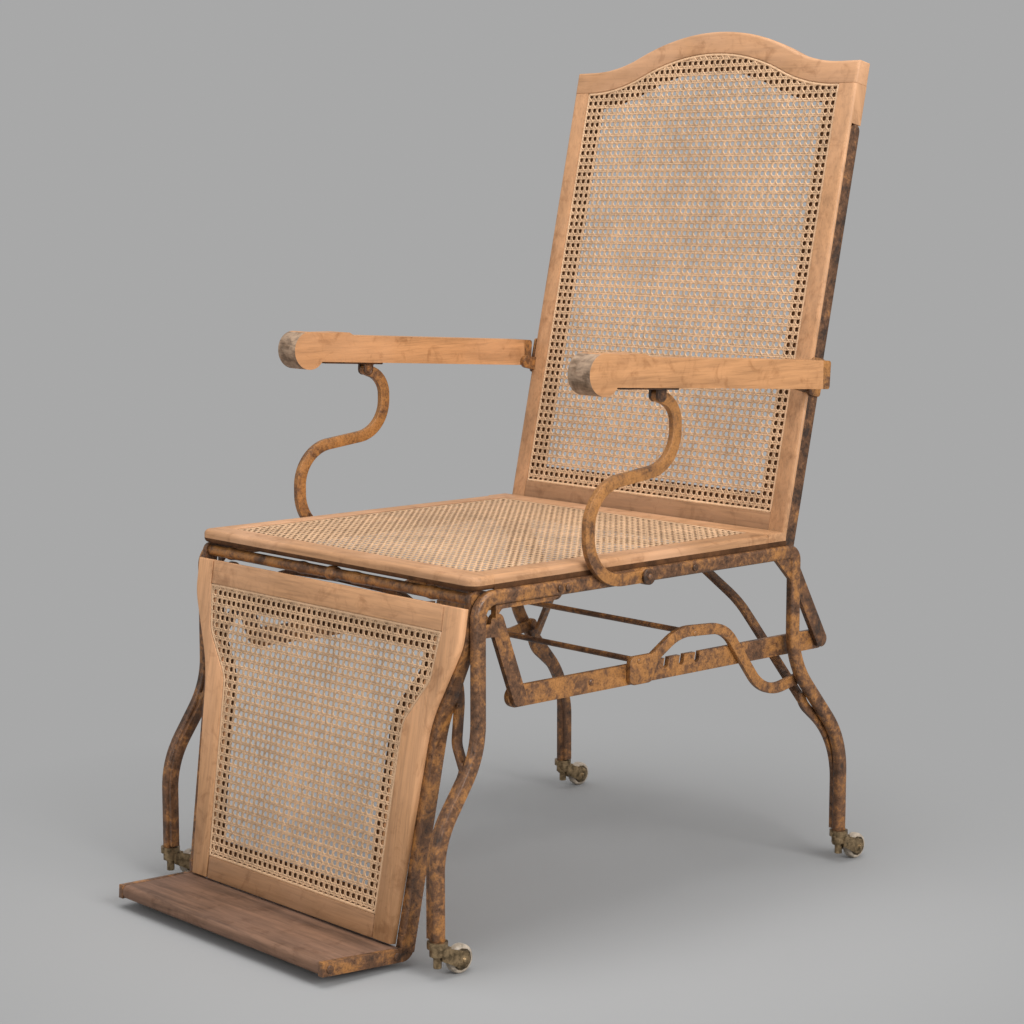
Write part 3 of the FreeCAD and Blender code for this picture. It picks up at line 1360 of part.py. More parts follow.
def make_arm_pins():
    for label, side in SIDES:
        inner = IRON_INNER
        length = "arm_inner - (%s) + arm_width / 2" % IRON_INNER
        start = inner if side > 0 else "-(%s) - (%s)" % (inner, length)
        hinge = along_x("HingePin" + label, "arm_pin_radius", length, start,
                        "rear_rod_reach + arm_run", "pivot_height + arm_rise")
        inner = SUPPORT_INNER + " - side_play - arm_lug_thickness"
        length = "support_thickness + 2 * side_play + 2 * arm_lug_thickness"
        start = inner if side > 0 else "-(%s) - (%s)" % (inner, length)
        knee = along_x("KneePin" + label, "arm_pin_radius", length, start,
                       "-support_reach + arm_run", "support_height + arm_rise")
        keep(group("ArmPins" + label, [hinge, knee]), "arm_pins_" + label)


def support_path():
    foot = (-z.support_reach, z.support_height)
    return [foot + (0,),
            (-z.support_belly_reach, foot[1], z.support_low_bend),
            (-z.support_belly_reach, foot[1] + z.support_belly_rise, z.support_low_bend),
            (foot[0] + z.support_chest_reach, foot[1] + z.support_chest_rise, z.support_high_bend),
            (foot[0] + z.support_chest_reach, foot[1] + z.support_top_rise, z.support_top_bend),
            (foot[0] + z.arm_run, foot[1] + z.arm_rise, 0)]


def make_supports():
    bolts = []
    for label, side in SIDES:
        strip = side_plate("Ess" + label, ribbon(support_path(), z.support_width), SUPPORT_INNER,
                           "support_thickness", side)[0]
        start = SUPPORT_INNER if side > 0 else "-(%s) - support_thickness" % SUPPORT_INNER
        eye = along_x("EssEye" + label, "support_eye_radius", "support_thickness", start,
                      "-support_reach", "support_height")
        blank = joined("EssBlank" + label, [strip, eye])
        bored = pin_seat("EssBored" + label, blank, side, "-support_reach", "support_height",
                         "support_bolt_radius + bore_play", SUPPORT_INNER, "support_thickness + overrun")
        keep(pin_seat("Support" + label, bored, side, "-support_reach + arm_run",
                      "support_height + arm_rise", "arm_pin_radius + link_pin_open_play", SUPPORT_INNER,
                      "support_thickness + overrun"), "arm_support_" + label)
        rail_face = "frame_half_width + bar_depth / 2"
        length = "support_thickness + 2 * side_play"
        shank = along_x("BoltShank" + label, "support_bolt_radius", length,
                        rail_face if side > 0 else "-(%s) - (%s)" % (rail_face, length),
                        "-support_reach", "support_height")
        outer = "(%s) + (%s)" % (rail_face, length)
        head = along_x("BoltHead" + label, "support_eye_radius - side_play", "support_bolt_head",
                       outer if side > 0 else "-(%s) - support_bolt_head" % outer,
                       "-support_reach", "support_height")
        bolts.append(joined("SupportBolt" + label, [shank, head]))
    keep(group("SupportBolts", bolts), "arm_support_bolts")


def check_and_write():
    doc.recompute()
    for obj in doc.Objects:
        if "Invalid" in obj.State or "Error" in obj.State:
            raise RuntimeError("failed object: %s" % obj.Label)
    os.makedirs("parts", exist_ok=True)
    for obj in NODES:
        shape = obj.Shape
        if shape.isNull() or not shape.isValid() or not shape.Solids:
            raise RuntimeError("bad shape: %s" % obj.Label)
    for obj in NODES:
        shape = obj.Shape.translated(Vector(0, z.middle_shift, 0))
        shape.exportStep("parts/%s.step" % obj.Label)
        low = shape.BoundBox
        print("%-26s %2d solids  volume %9.0f  x %.1f..%.1f  y %.1f..%.1f  z %.1f..%.1f" % (
            obj.Label, len(shape.Solids), shape.Volume, low.XMin, low.XMax, low.YMin, low.YMax,
            low.ZMin, low.ZMax))


for label, side in SIDES:
    make_side_frame(label, side)
make_cross_rods()
make_front_brace()
make_rear_brace()
make_straps()
make_rivets()
make_castors()
make_seat()
make_back()
make_back_irons()
make_arm_brackets()
make_link_pins()
make_link_bars()
make_catch()
make_leg_rest()
make_leg_rest_irons()
make_footboard()
make_arms()
make_arm_plates()
make_arm_pins()
make_supports()
check_and_write()
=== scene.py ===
import json
import math
import random
from contextlib import contextmanager

import bmesh
import bpy
from bpy.props import FloatProperty, FloatVectorProperty, PointerProperty
from bpy.types import Operator, Panel, PropertyGroup
from mathutils import Matrix, Vector
from mathutils.geometry import tessellate_polygon


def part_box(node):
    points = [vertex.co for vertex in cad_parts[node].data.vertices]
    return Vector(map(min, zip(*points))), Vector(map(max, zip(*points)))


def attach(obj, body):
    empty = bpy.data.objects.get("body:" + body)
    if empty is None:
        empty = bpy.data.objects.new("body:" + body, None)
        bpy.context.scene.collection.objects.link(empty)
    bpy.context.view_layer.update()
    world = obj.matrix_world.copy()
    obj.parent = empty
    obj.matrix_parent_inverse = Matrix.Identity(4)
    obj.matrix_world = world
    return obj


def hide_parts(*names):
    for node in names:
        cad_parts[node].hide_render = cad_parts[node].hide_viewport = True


bl_info = {
    "name": "Planters Chair",
    "version": (1, 0, 0),
    "blender": (4, 5, 0),
    "location": "View3D > Sidebar > Chair",
    "description": "Dresses a reclining planters chair with woven cane, worn wood and rusty iron",
    "category": "Object",
}

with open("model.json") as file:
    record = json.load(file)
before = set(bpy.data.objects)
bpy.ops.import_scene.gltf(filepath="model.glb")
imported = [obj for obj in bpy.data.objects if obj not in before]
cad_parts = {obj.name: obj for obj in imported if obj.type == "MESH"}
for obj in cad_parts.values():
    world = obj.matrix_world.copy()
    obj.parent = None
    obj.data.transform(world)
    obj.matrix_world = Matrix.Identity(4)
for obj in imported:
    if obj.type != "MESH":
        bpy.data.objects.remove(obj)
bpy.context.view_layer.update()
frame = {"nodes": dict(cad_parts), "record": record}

BODY_OF = {node: body for body, nodes in frame["record"]["behaviour"]["bodies"].items()
           for node in nodes}
SLOT_OF = {entry["node"]: entry["material_slot"] for entry in frame["record"]["subparts"]}
CORNERS = ("front_left", "front_right", "rear_left", "rear_right")
SIDES = (("left", -1), ("right", 1))

# Meshes, in metres and radians. FACING is the least cosine at which a face looks a given way.
MERGE_DISTANCE = 0.00002
FLAT_ANGLE = math.radians(1.0)
HARD_ANGLE = math.radians(38.0)
SMOOTH_ANGLE = math.radians(44)
FACING = 0.9
OUTER_EDGE_RADIUS = 0.0045
OUTER_EDGE_MIN_X = 0.15

# The front cross rod: its radius, and (place, radius) of each worn swelling
ROD_RADIUS = 0.0071
ROD_SWELLINGS = ((-0.215, 0.0085), (-0.062, 0.0083), (0.045, 0.0080), (0.190, 0.0085))
ROD_SWELLING_REACH = 0.007
ROD_STEPS = 160
COLLAR_RADIUS = 0.0095
COLLAR_HALF_WIDTH = 0.0062
COLLAR_SLOPE = 1.4

# Round heads: (radius, height) of each, and how deep they are seated
ARM_BOLT_HEAD = (0.0043, 0.0024)
LINK_BOLT_HEAD = (0.0045, 0.0020)
ROD_END_HEAD = (0.0040, 0.0017)
LINK_BOLT_Y = -0.065
HEAD_SEAT = 0.0003
HEAD_STEPS = 6
HEAD_SEGMENTS = 20

# How far each iron's finish is shifted from black towards ochre
IRON_SHIFTS = {"orange": 0.085, "ochre": 0.048, "rusty": 0.0, "black": -0.05, "dark": -0.09}

# Where finishes change on a piece
HUB_RADIUS = 0.0078
# Height of a seat rail's top band that stays lit; below it the rail gets painted shade
LIT_RAIL_HEIGHT = 0.0105
# Depth behind the cane past which frame wood gets painted shade
LEDGE_DEPTH = -0.0012
ARM_CAP_LENGTH = 0.015
END_GRAIN_LENGTH = 0.03

# The tilt of the back and the leg rest, which their grain follows
BACK_LEAN = (math.radians(-12.35), 0.0, 0.0)
REST_LEAN = (math.radians(8.9), 0.0, 0.0)
SEAT_FACING = Vector((0.0, 0.0, 1.0))
BACK_FACING = Vector((0.0, -1.0, 0.2)).normalized()
REST_FACING = Vector((0.0, -1.0, 0.15)).normalized()

# The weave: lifts and depth in strand thicknesses, lengths and margin in knots
STRAIGHT_LIFT = 0.5
SLANTED_LIFT = 0.95
WEAVE_DEPTH = 0.8
SHORTEST_STRAND = 0.6
KNOT_MARGIN = 0.08
BINDER_THICKNESS = 0.0016
BINDER_STEP = 0.012

# The dark lip behind the outer rows of cane, a sheet of painted shade: its reach from the wood, its
# faces and its points
LIP_START = 0.012
LIP_END = 0.025
LIP_DEPTHS = (-0.0022, -0.0034)
LIP_STEP = 0.006
LIP_SPACING = 0.0015

# The stage: (name, setting of its power, size, place) of each lamp, the floor and the camera
LAMPS = (("key_lamp", "key_power", 1.8, (0.2, -0.3, 3.4)),
         ("side_lamp", "side_power", 2.0, (3.6, -0.2, 2.1)),
         ("front_lamp", "front_power", 2.2, (-0.2, -3.6, 1.7)))
LAMP_TARGET = Vector((0.0, 0.0, 0.5))
FLOOR_RADIUS = 14.0
FADE_REACH = 4.0
CAMERA_PLACE = (2.3086, -2.0634, 0.9137)
CAMERA_AZIMUTH = math.radians(47.67)
CAMERA_PITCH = math.radians(7.776)
SENSOR_WIDTH = 36.0


class CaneSettings(PropertyGroup):
    """Sizes of the woven cane."""

    pitch: FloatProperty(
        name="Pitch", description="Distance between holes",
        default=0.0105, min=0.006, subtype="DISTANCE")
    strand_width: FloatProperty(
        name="Strand Width", description="Width of one strand",
        default=0.0022, min=0.001, subtype="DISTANCE")
    strand_thickness: FloatProperty(
        name="Strand Thickness", description="Thickness of one strand",
        default=0.0009, min=0.0003, subtype="DISTANCE")
    pair_spread: FloatProperty(
        name="Pair Spread", description="Distance between the two strands of a pair",
        default=0.0027, min=0.001, subtype="DISTANCE")
    binder_width: FloatProperty(
        name="Binder Width", description="Width of the strip that covers the panel's edge",
        default=0.0045, min=0.002, subtype="DISTANCE")


class FinishSettings(PropertyGroup):
    """Colours of the finishes."""

    iron_dark: FloatVectorProperty(
        name="Iron Dark", description="Bare and blackened iron",
        default=(0.042, 0.023, 0.014), subtype="COLOR", min=0, max=1)
    iron_brown: FloatVectorProperty(
        name="Iron Brown", description="Old brown paint",
        default=(0.150, 0.068, 0.030), subtype="COLOR", min=0, max=1)
    iron_rust: FloatVectorProperty(
        name="Iron Rust", description="Ochre and rust patches",
        default=(0.345, 0.150, 0.042), subtype="COLOR", min=0, max=1)
    frame_wood: FloatVectorProperty(
        name="Frame Wood", description="Light wood of the seat, back and leg rest",
        default=(0.480, 0.250, 0.120), subtype="COLOR", min=0, max=1)
    arm_wood: FloatVectorProperty(
        name="Arm Wood", description="Polished wood of the arms",
        default=(0.500, 0.245, 0.105), subtype="COLOR", min=0, max=1)
    foot_wood: FloatVectorProperty(
        name="Foot Wood", description="Dark wood of the footboard",
        default=(0.185, 0.098, 0.058), subtype="COLOR", min=0, max=1)
    # The ledge colour is painted shade: wood under the cane's edge, darkened as if in shadow
    ledge_shade: FloatVectorProperty(
        name="Ledge Wood", description="Shaded wood under the cane's edge",
        default=(0.095, 0.040, 0.015), subtype="COLOR", min=0, max=1)
    end_grain: FloatVectorProperty(
        name="End Grain", description="Greyed end grain on the arms' fronts",
        default=(0.330, 0.225, 0.150), subtype="COLOR", min=0, max=1)
    cane: FloatVectorProperty(
        name="Cane", description="Split cane",
        default=(0.640, 0.405, 0.235), subtype="COLOR", min=0, max=1)
    brass: FloatVectorProperty(
        name="Brass", description="Tarnished brass of the castors",
        default=(0.270, 0.190, 0.105), subtype="COLOR", min=0, max=1)
    porcelain: FloatVectorProperty(
        name="Porcelain", description="Pale castor wheels",
        default=(0.400, 0.330, 0.255), subtype="COLOR", min=0, max=1)


class StageSettings(PropertyGroup):
    """The view and the lamps."""

    backdrop: FloatVectorProperty(
        name="Backdrop", description="Colour of the backdrop and of the floor far away",
        default=(0.392, 0.392, 0.392), subtype="COLOR", min=0, max=1)
    floor_tone: FloatVectorProperty(
        name="Floor Tone", description="Colour of the floor near the chair, where it shows shadows",
        default=(0.314, 0.314, 0.314), subtype="COLOR", min=0, max=1)
    focal_length: FloatProperty(
        name="Focal Length", description="Lens of the camera in millimetres",
        default=83.71, min=20)
    key_power: FloatProperty(
        name="Key Power", description="Power of the soft lamp above the chair",
        default=56.0, min=0, subtype="POWER")
    side_power: FloatProperty(
        name="Side Power", description="Power of the lamp on the right",
        default=125.0, min=0, subtype="POWER")
    front_power: FloatProperty(
        name="Front Power", description="Power of the lamp in front",
        default=26.0, min=0, subtype="POWER")
    ambient: FloatProperty(
        name="Ambient", description="Strength of the light from all round", default=0.64, min=0)


# Shader nodes

def plug(tree, socket, value):
    """Link an output to a socket, or set the socket to a plain value."""
    if isinstance(value, bpy.types.NodeSocket):
        tree.links.new(value, socket)
    else:
        socket.default_value = value


def add_node(tree, kind, inputs=None, **settings):
    made = tree.nodes.new(kind)
    for name, value in settings.items():
        setattr(made, name, value)
    for name, value in (inputs or {}).items():
        plug(tree, made.inputs[name], value)
    return made


def colour(value):
    return (value[0], value[1], value[2], 1.0)


def mixed(tree, factor, first, second, blend="MIX"):
    """Two colours blended; 0, 6 and 7 are the colour mix node's factor and colours."""
    made = add_node(tree, "ShaderNodeMix", data_type="RGBA", blend_type=blend)
    for index, value in ((0, factor), (6, first), (7, second)):
        plug(tree, made.inputs[index], value)
    return made.outputs[2]


def ramp(tree, factor, *stops):
    """A colour ramp with stops of (position, colour or grey)."""
    made = add_node(tree, "ShaderNodeValToRGB", {"Fac": factor})
    elements = made.color_ramp.elements
    while len(elements) < len(stops):
        elements.new(0.5)
    for element, (position, value) in zip(elements, stops):
        element.position = position
        grey = isinstance(value, (int, float))
        element.color = colour((value,) * 3 if grey else value)
    return made.outputs["Color"]


def noise(tree, where, scale, detail=4.0, roughness=0.55, distortion=0.0):
    made = add_node(tree, "ShaderNodeTexNoise", {
        "Vector": where, "Scale": scale, "Detail": detail, "Roughness": roughness,
        "Distortion": distortion})
    return made.outputs["Fac"]


def stretched(tree, where, scale, turn=(0.0, 0.0, 0.0)):
    made = add_node(tree, "ShaderNodeMapping", {"Vector": where, "Scale": scale, "Rotation": turn})
    return made.outputs["Vector"]


def math_node(tree, operation, first, second):
    return add_node(tree, "ShaderNodeMath", {0: first, 1: second}, operation=operation).outputs[0]


def bump(tree, height, distance, strength):
    made = add_node(tree, "ShaderNodeBump", {
        "Height": height, "Distance": distance, "Strength": strength})
    return made.outputs["Normal"]


def painted(name, paint, *details):
    """The material of this name, which paint fills the first time that it is asked for."""
    material = bpy.data.materials.get(name)
    if material is None:
        material = bpy.data.materials.new(name)
        material.use_nodes = True
        tree = material.node_tree
        where = add_node(tree, "ShaderNodeTexCoord").outputs["Object"]
        paint(tree, tree.nodes["Principled BSDF"], where, *details)
    return material


SOCKETS = {"base_color": "Base Color", "roughness": "Roughness", "metallic": "Metallic",
           "normal": "Normal", "specular_ior_level": "Specular IOR Level"}


def feed(tree, shader, **sockets):
    for name, value in sockets.items():
        plug(tree, shader.inputs[SOCKETS[name]], value)


# Finishes

def paint_iron(tree, shader, where, shift):
    """Old brown paint on iron, worn to black metal and ochre rust.

    A higher shift leaves more ochre, and a lower one more black."""
    finish = bpy.context.scene.chair_finish
    dark, brown, rust = map(Vector, (finish.iron_dark, finish.iron_brown, finish.iron_rust))
    broad = noise(tree, where, scale=30.0, detail=4.0, roughness=0.6, distortion=0.6)
    mottle = noise(tree, where, scale=140.0, detail=6.0, roughness=0.68, distortion=0.4)
    speck = noise(tree, where, scale=460.0, detail=3.0, roughness=0.6)
    blend = math_node(tree, "ADD", math_node(tree, "MULTIPLY", broad, 0.55),
                      math_node(tree, "MULTIPLY", mottle, 0.45))
    base = ramp(tree, blend, (0.37 - shift, dark), (0.425 - shift, brown * 0.6),
                (0.50 - shift, brown), (0.535 - shift, brown.lerp(rust, 0.45)),
                (0.60 - shift, rust), (0.70 - shift, rust * 1.2))
    shade = ramp(tree, speck, (0.34, 0.45), (0.52, 1.0))
    base = mixed(tree, 0.7, base, shade, "MULTIPLY")
    rough = ramp(tree, mottle, (0.35, 0.26), (0.62, 0.50))
    relief = math_node(tree, "ADD", mottle, math_node(tree, "MULTIPLY", speck, 0.5))
    feed(tree, shader, base_color=base, roughness=rough, specular_ior_level=0.45,
         normal=bump(tree, relief, distance=0.0006, strength=0.7))


def iron(kind):
    return painted(kind + "_iron", paint_iron, IRON_SHIFTS[kind])


def grained_wood(name, tone, along, turn=(0.0, 0.0, 0.0), figure=1.0, gloss=0.45, wear=0.25,
                 darker_below=0.0):
    """Wood with its grain along X, Y or Z after the turn.

    The last setting is the height above the floor below which the wood grows darker towards the
    bottom."""
    return painted(name, paint_wood, Vector(tone), along, turn, figure, gloss, wear, darker_below)


def paint_wood(tree, shader, where, tone, along, turn, figure, gloss, wear, darker_below):
    """Streaks, fine pores, dirt and worn, paler patches."""
    across = [13.0, 13.0, 13.0]
    pores = [420.0, 420.0, 420.0]
    index = "XYZ".index(along)
    across[index] = 1.1
    pores[index] = 16.0
    finer = [scale * 3.5 for scale in across]
    turned = stretched(tree, where, (1.0, 1.0, 1.0), turn)
    streak = noise(tree, stretched(tree, turned, across),
                   scale=3.2, detail=6.0, roughness=0.6, distortion=0.9)
    line = noise(tree, stretched(tree, turned, finer),
                 scale=3.6, detail=5.0, roughness=0.62, distortion=0.3)
    pore = noise(tree, stretched(tree, turned, pores), scale=1.0, detail=2.0, roughness=0.5)
    patch = noise(tree, where, scale=6.0, detail=4.0, roughness=0.55, distortion=0.5)
    stain = noise(tree, where, scale=34.0, detail=5.0, roughness=0.65, distortion=0.8)
    base = ramp(tree, streak, (0.32, tone * (1.0 - 0.22 * figure)), (0.50, tone),
                (0.68, tone * (1.0 + 0.12 * figure)))
    fine = ramp(tree, line, (0.38, 1.0 - 0.20 * figure), (0.58, 1.0))
    base = mixed(tree, 0.7, base, fine, "MULTIPLY")
    speckle = ramp(tree, pore, (0.34, 0.70), (0.44, 1.0))
    base = mixed(tree, 0.5, base, speckle, "MULTIPLY")
    worn = ramp(tree, patch, (0.44, 0.0), (0.62, 1.0))
    pale = mixed(tree, wear, base, colour((tone.x * 1.25, tone.y * 1.35, tone.z * 1.6)))
    base = mixed(tree, worn, base, pale)
    dirty = ramp(tree, stain, (0.33, Vector((0.62, 0.55, 0.48))), (0.47, 1.0))
    base = mixed(tree, 0.65, base, dirty, "MULTIPLY")
    # Darker towards the bottom, below the given height
    if darker_below:
        height = add_node(tree, "ShaderNodeSeparateXYZ", {"Vector": where}).outputs["Z"]
        lowness = math_node(tree, "ADD", math_node(tree, "DIVIDE", height, darker_below),
                             math_node(tree, "MULTIPLY", patch, 0.5))
        shade = ramp(tree, lowness, (0.35, Vector((0.66, 0.66, 0.62))), (0.95, 1.0))
        base = mixed(tree, 1.0, base, shade, "MULTIPLY")
    rough = ramp(tree, patch, (0.3, gloss), (0.7, gloss + 0.16))
    relief = math_node(tree, "ADD", line, math_node(tree, "MULTIPLY", pore, 0.6))
    feed(tree, shader, base_color=base, roughness=rough, specular_ior_level=0.35,
         normal=bump(tree, relief, distance=0.0003, strength=0.6))


def paint_end_grain(tree, shader, where, tone):
    """Greyed wood with short checks and dirty patches."""
    ring = noise(tree, stretched(tree, where, (40.0, 12.0, 130.0)),
                 scale=1.4, detail=5.0, roughness=0.6, distortion=0.8)
    stain = noise(tree, where, scale=60.0, detail=5.0, roughness=0.65, distortion=0.6)
    base = ramp(tree, ring, (0.30, tone * 0.55), (0.5, tone), (0.70, tone * 1.35))
    dirty = ramp(tree, stain, (0.36, Vector((0.42, 0.36, 0.30))), (0.52, 1.0))
    base = mixed(tree, 0.75, base, dirty, "MULTIPLY")
    feed(tree, shader, base_color=base, roughness=0.6, specular_ior_level=0.3,
         normal=bump(tree, ring, distance=0.0004, strength=0.6))


def paint_ledge(tree, shader, where, tone):
    """Wood under the cane, painted dark as the shade that falls there."""
    stain = noise(tree, where, scale=60.0, detail=4.0, roughness=0.6)
    base = ramp(tree, stain, (0.35, tone * 0.6), (0.65, tone * 1.3))
    feed(tree, shader, base_color=base, roughness=0.8, specular_ior_level=0.2)


def paint_cane(tree, shader, where, tone):
    """Pale split cane whose strands differ a little from each other."""
    strand = add_node(tree, "ShaderNodeAttribute", attribute_name="strand_tone").outputs["Fac"]
    patch = noise(tree, where, scale=11.0, detail=4.0, roughness=0.6)
    fleck = noise(tree, where, scale=260.0, detail=3.0, roughness=0.6)
    base = ramp(tree, strand, (0.0, tone * 0.80), (0.5, tone), (1.0, tone * 1.18))
    aged = ramp(tree, patch, (0.35, 0.78), (0.60, 1.0))
    base = mixed(tree, 0.8, base, aged, "MULTIPLY")
    flecked = ramp(tree, fleck, (0.33, 0.70), (0.50, 1.0))
    base = mixed(tree, 0.7, base, flecked, "MULTIPLY")
    feed(tree, shader, base_color=base, roughness=0.42, specular_ior_level=0.4,
         normal=bump(tree, fleck, distance=0.0002, strength=0.5))


def paint_brass(tree, shader, where, tone):
    """Brass with dark, dull stains."""
    stain = noise(tree, where, scale=130.0, detail=5.0, roughness=0.6, distortion=0.4)
    base = ramp(tree, stain, (0.35, tone * 0.35), (0.52, tone), (0.70, tone * 1.7))
    rough = ramp(tree, stain, (0.3, 0.55), (0.7, 0.28))
    feed(tree, shader, base_color=base, roughness=rough, metallic=0.85,
         normal=bump(tree, stain, distance=0.0003, strength=0.5))


def paint_porcelain(tree, shader, where, tone):
    """Stained and crazed pale wheels."""
    stain = noise(tree, where, scale=90.0, detail=5.0, roughness=0.65, distortion=0.5)
    base = ramp(tree, stain, (0.34, tone * 0.45), (0.50, tone * 0.9), (0.66, tone * 1.2))
    rough = ramp(tree, stain, (0.3, 0.50), (0.7, 0.22))
    feed(tree, shader, base_color=base, roughness=rough,
         normal=bump(tree, stain, distance=0.0002, strength=0.4))


def paint_hub(tree, shader, where, tone):
    """The wheels' hubs, darker than the forks."""
    stain = noise(tree, where, scale=200.0, detail=4.0, roughness=0.6)
    base = ramp(tree, stain, (0.35, tone * 0.15), (0.65, tone * 0.6))
    feed(tree, shader, base_color=base, roughness=0.5, metallic=0.6)


def plain(kind):
    """A finish that is made from one colour."""
    paint, name, tone = PLAIN[kind]
    return painted(name, paint, Vector(getattr(bpy.context.scene.chair_finish, tone)))


PLAIN = {
    "end_grain": (paint_end_grain, "arm_end_grain", "end_grain"),
    # The ledge finish is painted shade
    "ledge": (paint_ledge, "stained_ledge", "ledge_shade"),
    "cane": (paint_cane, "split_cane", "cane"),
    "brass": (paint_brass, "tarnished_brass", "brass"),
    "porcelain": (paint_porcelain, "old_porcelain", "porcelain"),
    "hub": (paint_hub, "dark_hub", "brass"),
}


# Meshes

@contextmanager
def edited(piece):
    """Open a piece's mesh for a change and write it back."""
    mesh = bmesh.new()
    mesh.from_mesh(piece.data)
    yield mesh
    mesh.to_mesh(piece.data)
    mesh.free()


def link(name, data):
    made = bpy.data.objects.new(name, data)
    bpy.context.scene.collection.objects.link(made)
    return made


def as_object(name, mesh):
    """Turn a finished mesh into an object of the scene."""
    data = bpy.data.meshes.new(name)
    mesh.to_mesh(data)
    mesh.free()
    return link(name, data)


def smooth_over(piece):
    """Shade a piece smooth up to its sharp edges."""
    piece.data.shade_smooth()
    piece.data.set_sharp_from_angle(angle=SMOOTH_ANGLE)


def worn_copy(node):
    """A copy of a CAD node with its loose triangles joined."""
    mesh = bmesh.new()
    mesh.from_mesh(frame["nodes"][node].data)
    bmesh.ops.remove_doubles(mesh, verts=mesh.verts, dist=MERGE_DISTANCE)
    bmesh.ops.dissolve_limit(mesh, angle_limit=FLAT_ANGLE, verts=mesh.verts, edges=mesh.edges)
    return as_object("worn_" + node, mesh)


def soften(piece, width, segments):
    """Bevel a mesh's hard edges and shade the rest smooth."""
    with edited(piece) as mesh:
        hard = [edge for edge in mesh.edges
                if len(edge.link_faces) == 2 and edge.calc_face_angle(0.0) > HARD_ANGLE]
        bmesh.ops.bevel(mesh, geom=hard, offset=width, offset_type="OFFSET", segments=segments,
                        profile=0.6, affect="EDGES", clamp_overlap=True)
    smooth_over(piece)


def hand_over(piece, material, nodes, body=None):
    """Give a finished piece its finish and its body, and hide the CAD nodes that it stands for."""
    piece.data.materials.clear()
    piece.data.materials.append(material)
    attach(piece, body or BODY_OF[nodes[0]])
    if nodes:
        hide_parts(*nodes)


def round_outer_edges(piece, facing, top):
    """Round a frame piece's front edges that look away from the panel, or also those on top."""
    with edited(piece) as mesh:
        chosen = []
        for edge in mesh.edges:
            if len(edge.link_faces) != 2:
                continue
            first, second = edge.link_faces
            if second.normal.dot(facing) > FACING:
                first, second = second, first
            if first.normal.dot(facing) < FACING or abs(second.normal.dot(facing)) > 0.3:
                continue
            middle = (edge.verts[0].co + edge.verts[1].co) / 2
            outward = second.normal.x * math.copysign(1.0, middle.x)
            at_side = outward > 0.5 and abs(middle.x) > OUTER_EDGE_MIN_X
            if at_side or (top and second.normal.z > 0.6):
                chosen.append(edge)
        bmesh.ops.bevel(mesh, geom=chosen, offset=OUTER_EDGE_RADIUS, offset_type="OFFSET",
                        segments=4, profile=0.5, affect="EDGES", clamp_overlap=True)


def dressed_copy(node, material, width, segments=2, facing=None, top=False):
    """A softened copy of a CAD node that stands for it."""
    piece = worn_copy(node)
    if facing:
        round_outer_edges(piece, facing, top)
    soften(piece, width, segments)
    hand_over(piece, material, [node])
    return piece


def shade_under(piece, cane, facing):
    """Paint shade on the part of a frame piece that lies behind the cane."""
    outline, plane = panel_of(cane, facing)
    flat = plane.inverted()
    piece.data.materials.append(plain("ledge"))
    for face in piece.data.polygons:
        centre = flat @ face.center
        turned = face.normal.dot(plane.col[2].to_3d())
        if centre.z < LEDGE_DEPTH and turned > -0.5 and is_inside(outline, centre.to_2d()):
            face.material_index = 1


def split_at(piece, point, normal):
    """Cut a piece's faces along a plane, so that each side can have a finish of its own."""
    with edited(piece) as mesh:
        bmesh.ops.bisect_plane(mesh, geom=mesh.verts[:] + mesh.edges[:] + mesh.faces[:],
                               plane_co=point, plane_no=normal)


def shade_below(piece, height):
    """Paint the lower part of a seat rail dark, as the shade beneath the seat."""
    split_at(piece, Vector((0.0, 0.0, height)), Vector((0.0, 0.0, 1.0)))
    for face in piece.data.polygons:
        if face.center.z < height:
            face.material_index = 1


def is_inside(outline, point):
    """Whether a line from the point crosses the outline an odd number of times."""
    crossings = 0
    for first, second in sides_of(outline):
        if (first.y > point.y) != (second.y > point.y):
            share = (point.y - first.y) / (second.y - first.y)
            crossings += first.x + (second.x - first.x) * share > point.x
    return crossings % 2 == 1


def turned_rod(node, material):
    """Replace the front cross rod by a tube with worn swellings and a collar at its middle."""
    low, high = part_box(node)
    middle = (low + high) / 2
    length = high.x - low.x
    profile = [(0.0, 0.0)]
    for step in range(ROD_STEPS + 1):
        x = (step / ROD_STEPS - 0.5) * length
        radius = ROD_RADIUS
        for place, swell in ROD_SWELLINGS:
            nearness = math.exp(-((x - place) / ROD_SWELLING_REACH) ** 2)
            radius = max(radius, ROD_RADIUS + (swell - ROD_RADIUS) * nearness)
        beyond = max(0.0, abs(x) - COLLAR_HALF_WIDTH)
        radius = max(radius, COLLAR_RADIUS - beyond * COLLAR_SLOPE)
        profile.append((x - low.x, radius))
    profile.append((length, 0.0))
    piece = lathed("turned_" + node, profile, Vector((low.x, middle.y, middle.z)))
    hand_over(piece, material, [node])


def lathed(name, profile, start, segments=28):
    """A closed surface turned about a line along X, from (distance, radius) pairs."""
    mesh = bmesh.new()
    rings = []
    for distance, radius in profile:
        if radius == 0.0:
            rings.append([mesh.verts.new(start + Vector((distance, 0.0, 0.0)))] * segments)
            continue
        ring = []
        for number in range(segments):
            angle = 2 * math.pi * number / segments
            spoke = Vector((distance, radius * math.cos(angle), radius * math.sin(angle)))
            ring.append(mesh.verts.new(start + spoke))
        rings.append(ring)
    for first, second in zip(rings, rings[1:]):
        for number in range(segments):
            after = (number + 1) % segments
            corners = []
            for vert in (first[number], first[after], second[after], second[number]):
                if vert not in corners:
                    corners.append(vert)
            mesh.faces.new(corners)
    bmesh.ops.recalc_face_normals(mesh, faces=mesh.faces)
    piece = as_object(name, mesh)
    smooth_over(piece)
    return piece


def paint_node(node, material):
    """Finish a CAD node in place."""
    data = frame["nodes"][node].data
    data.materials.clear()
    data.materials.append(material)


# Outlines

def sides_of(outline):
    """The sides of a closed outline, as pairs of points."""
    return list(zip(outline, outline[1:] + outline[:1]))


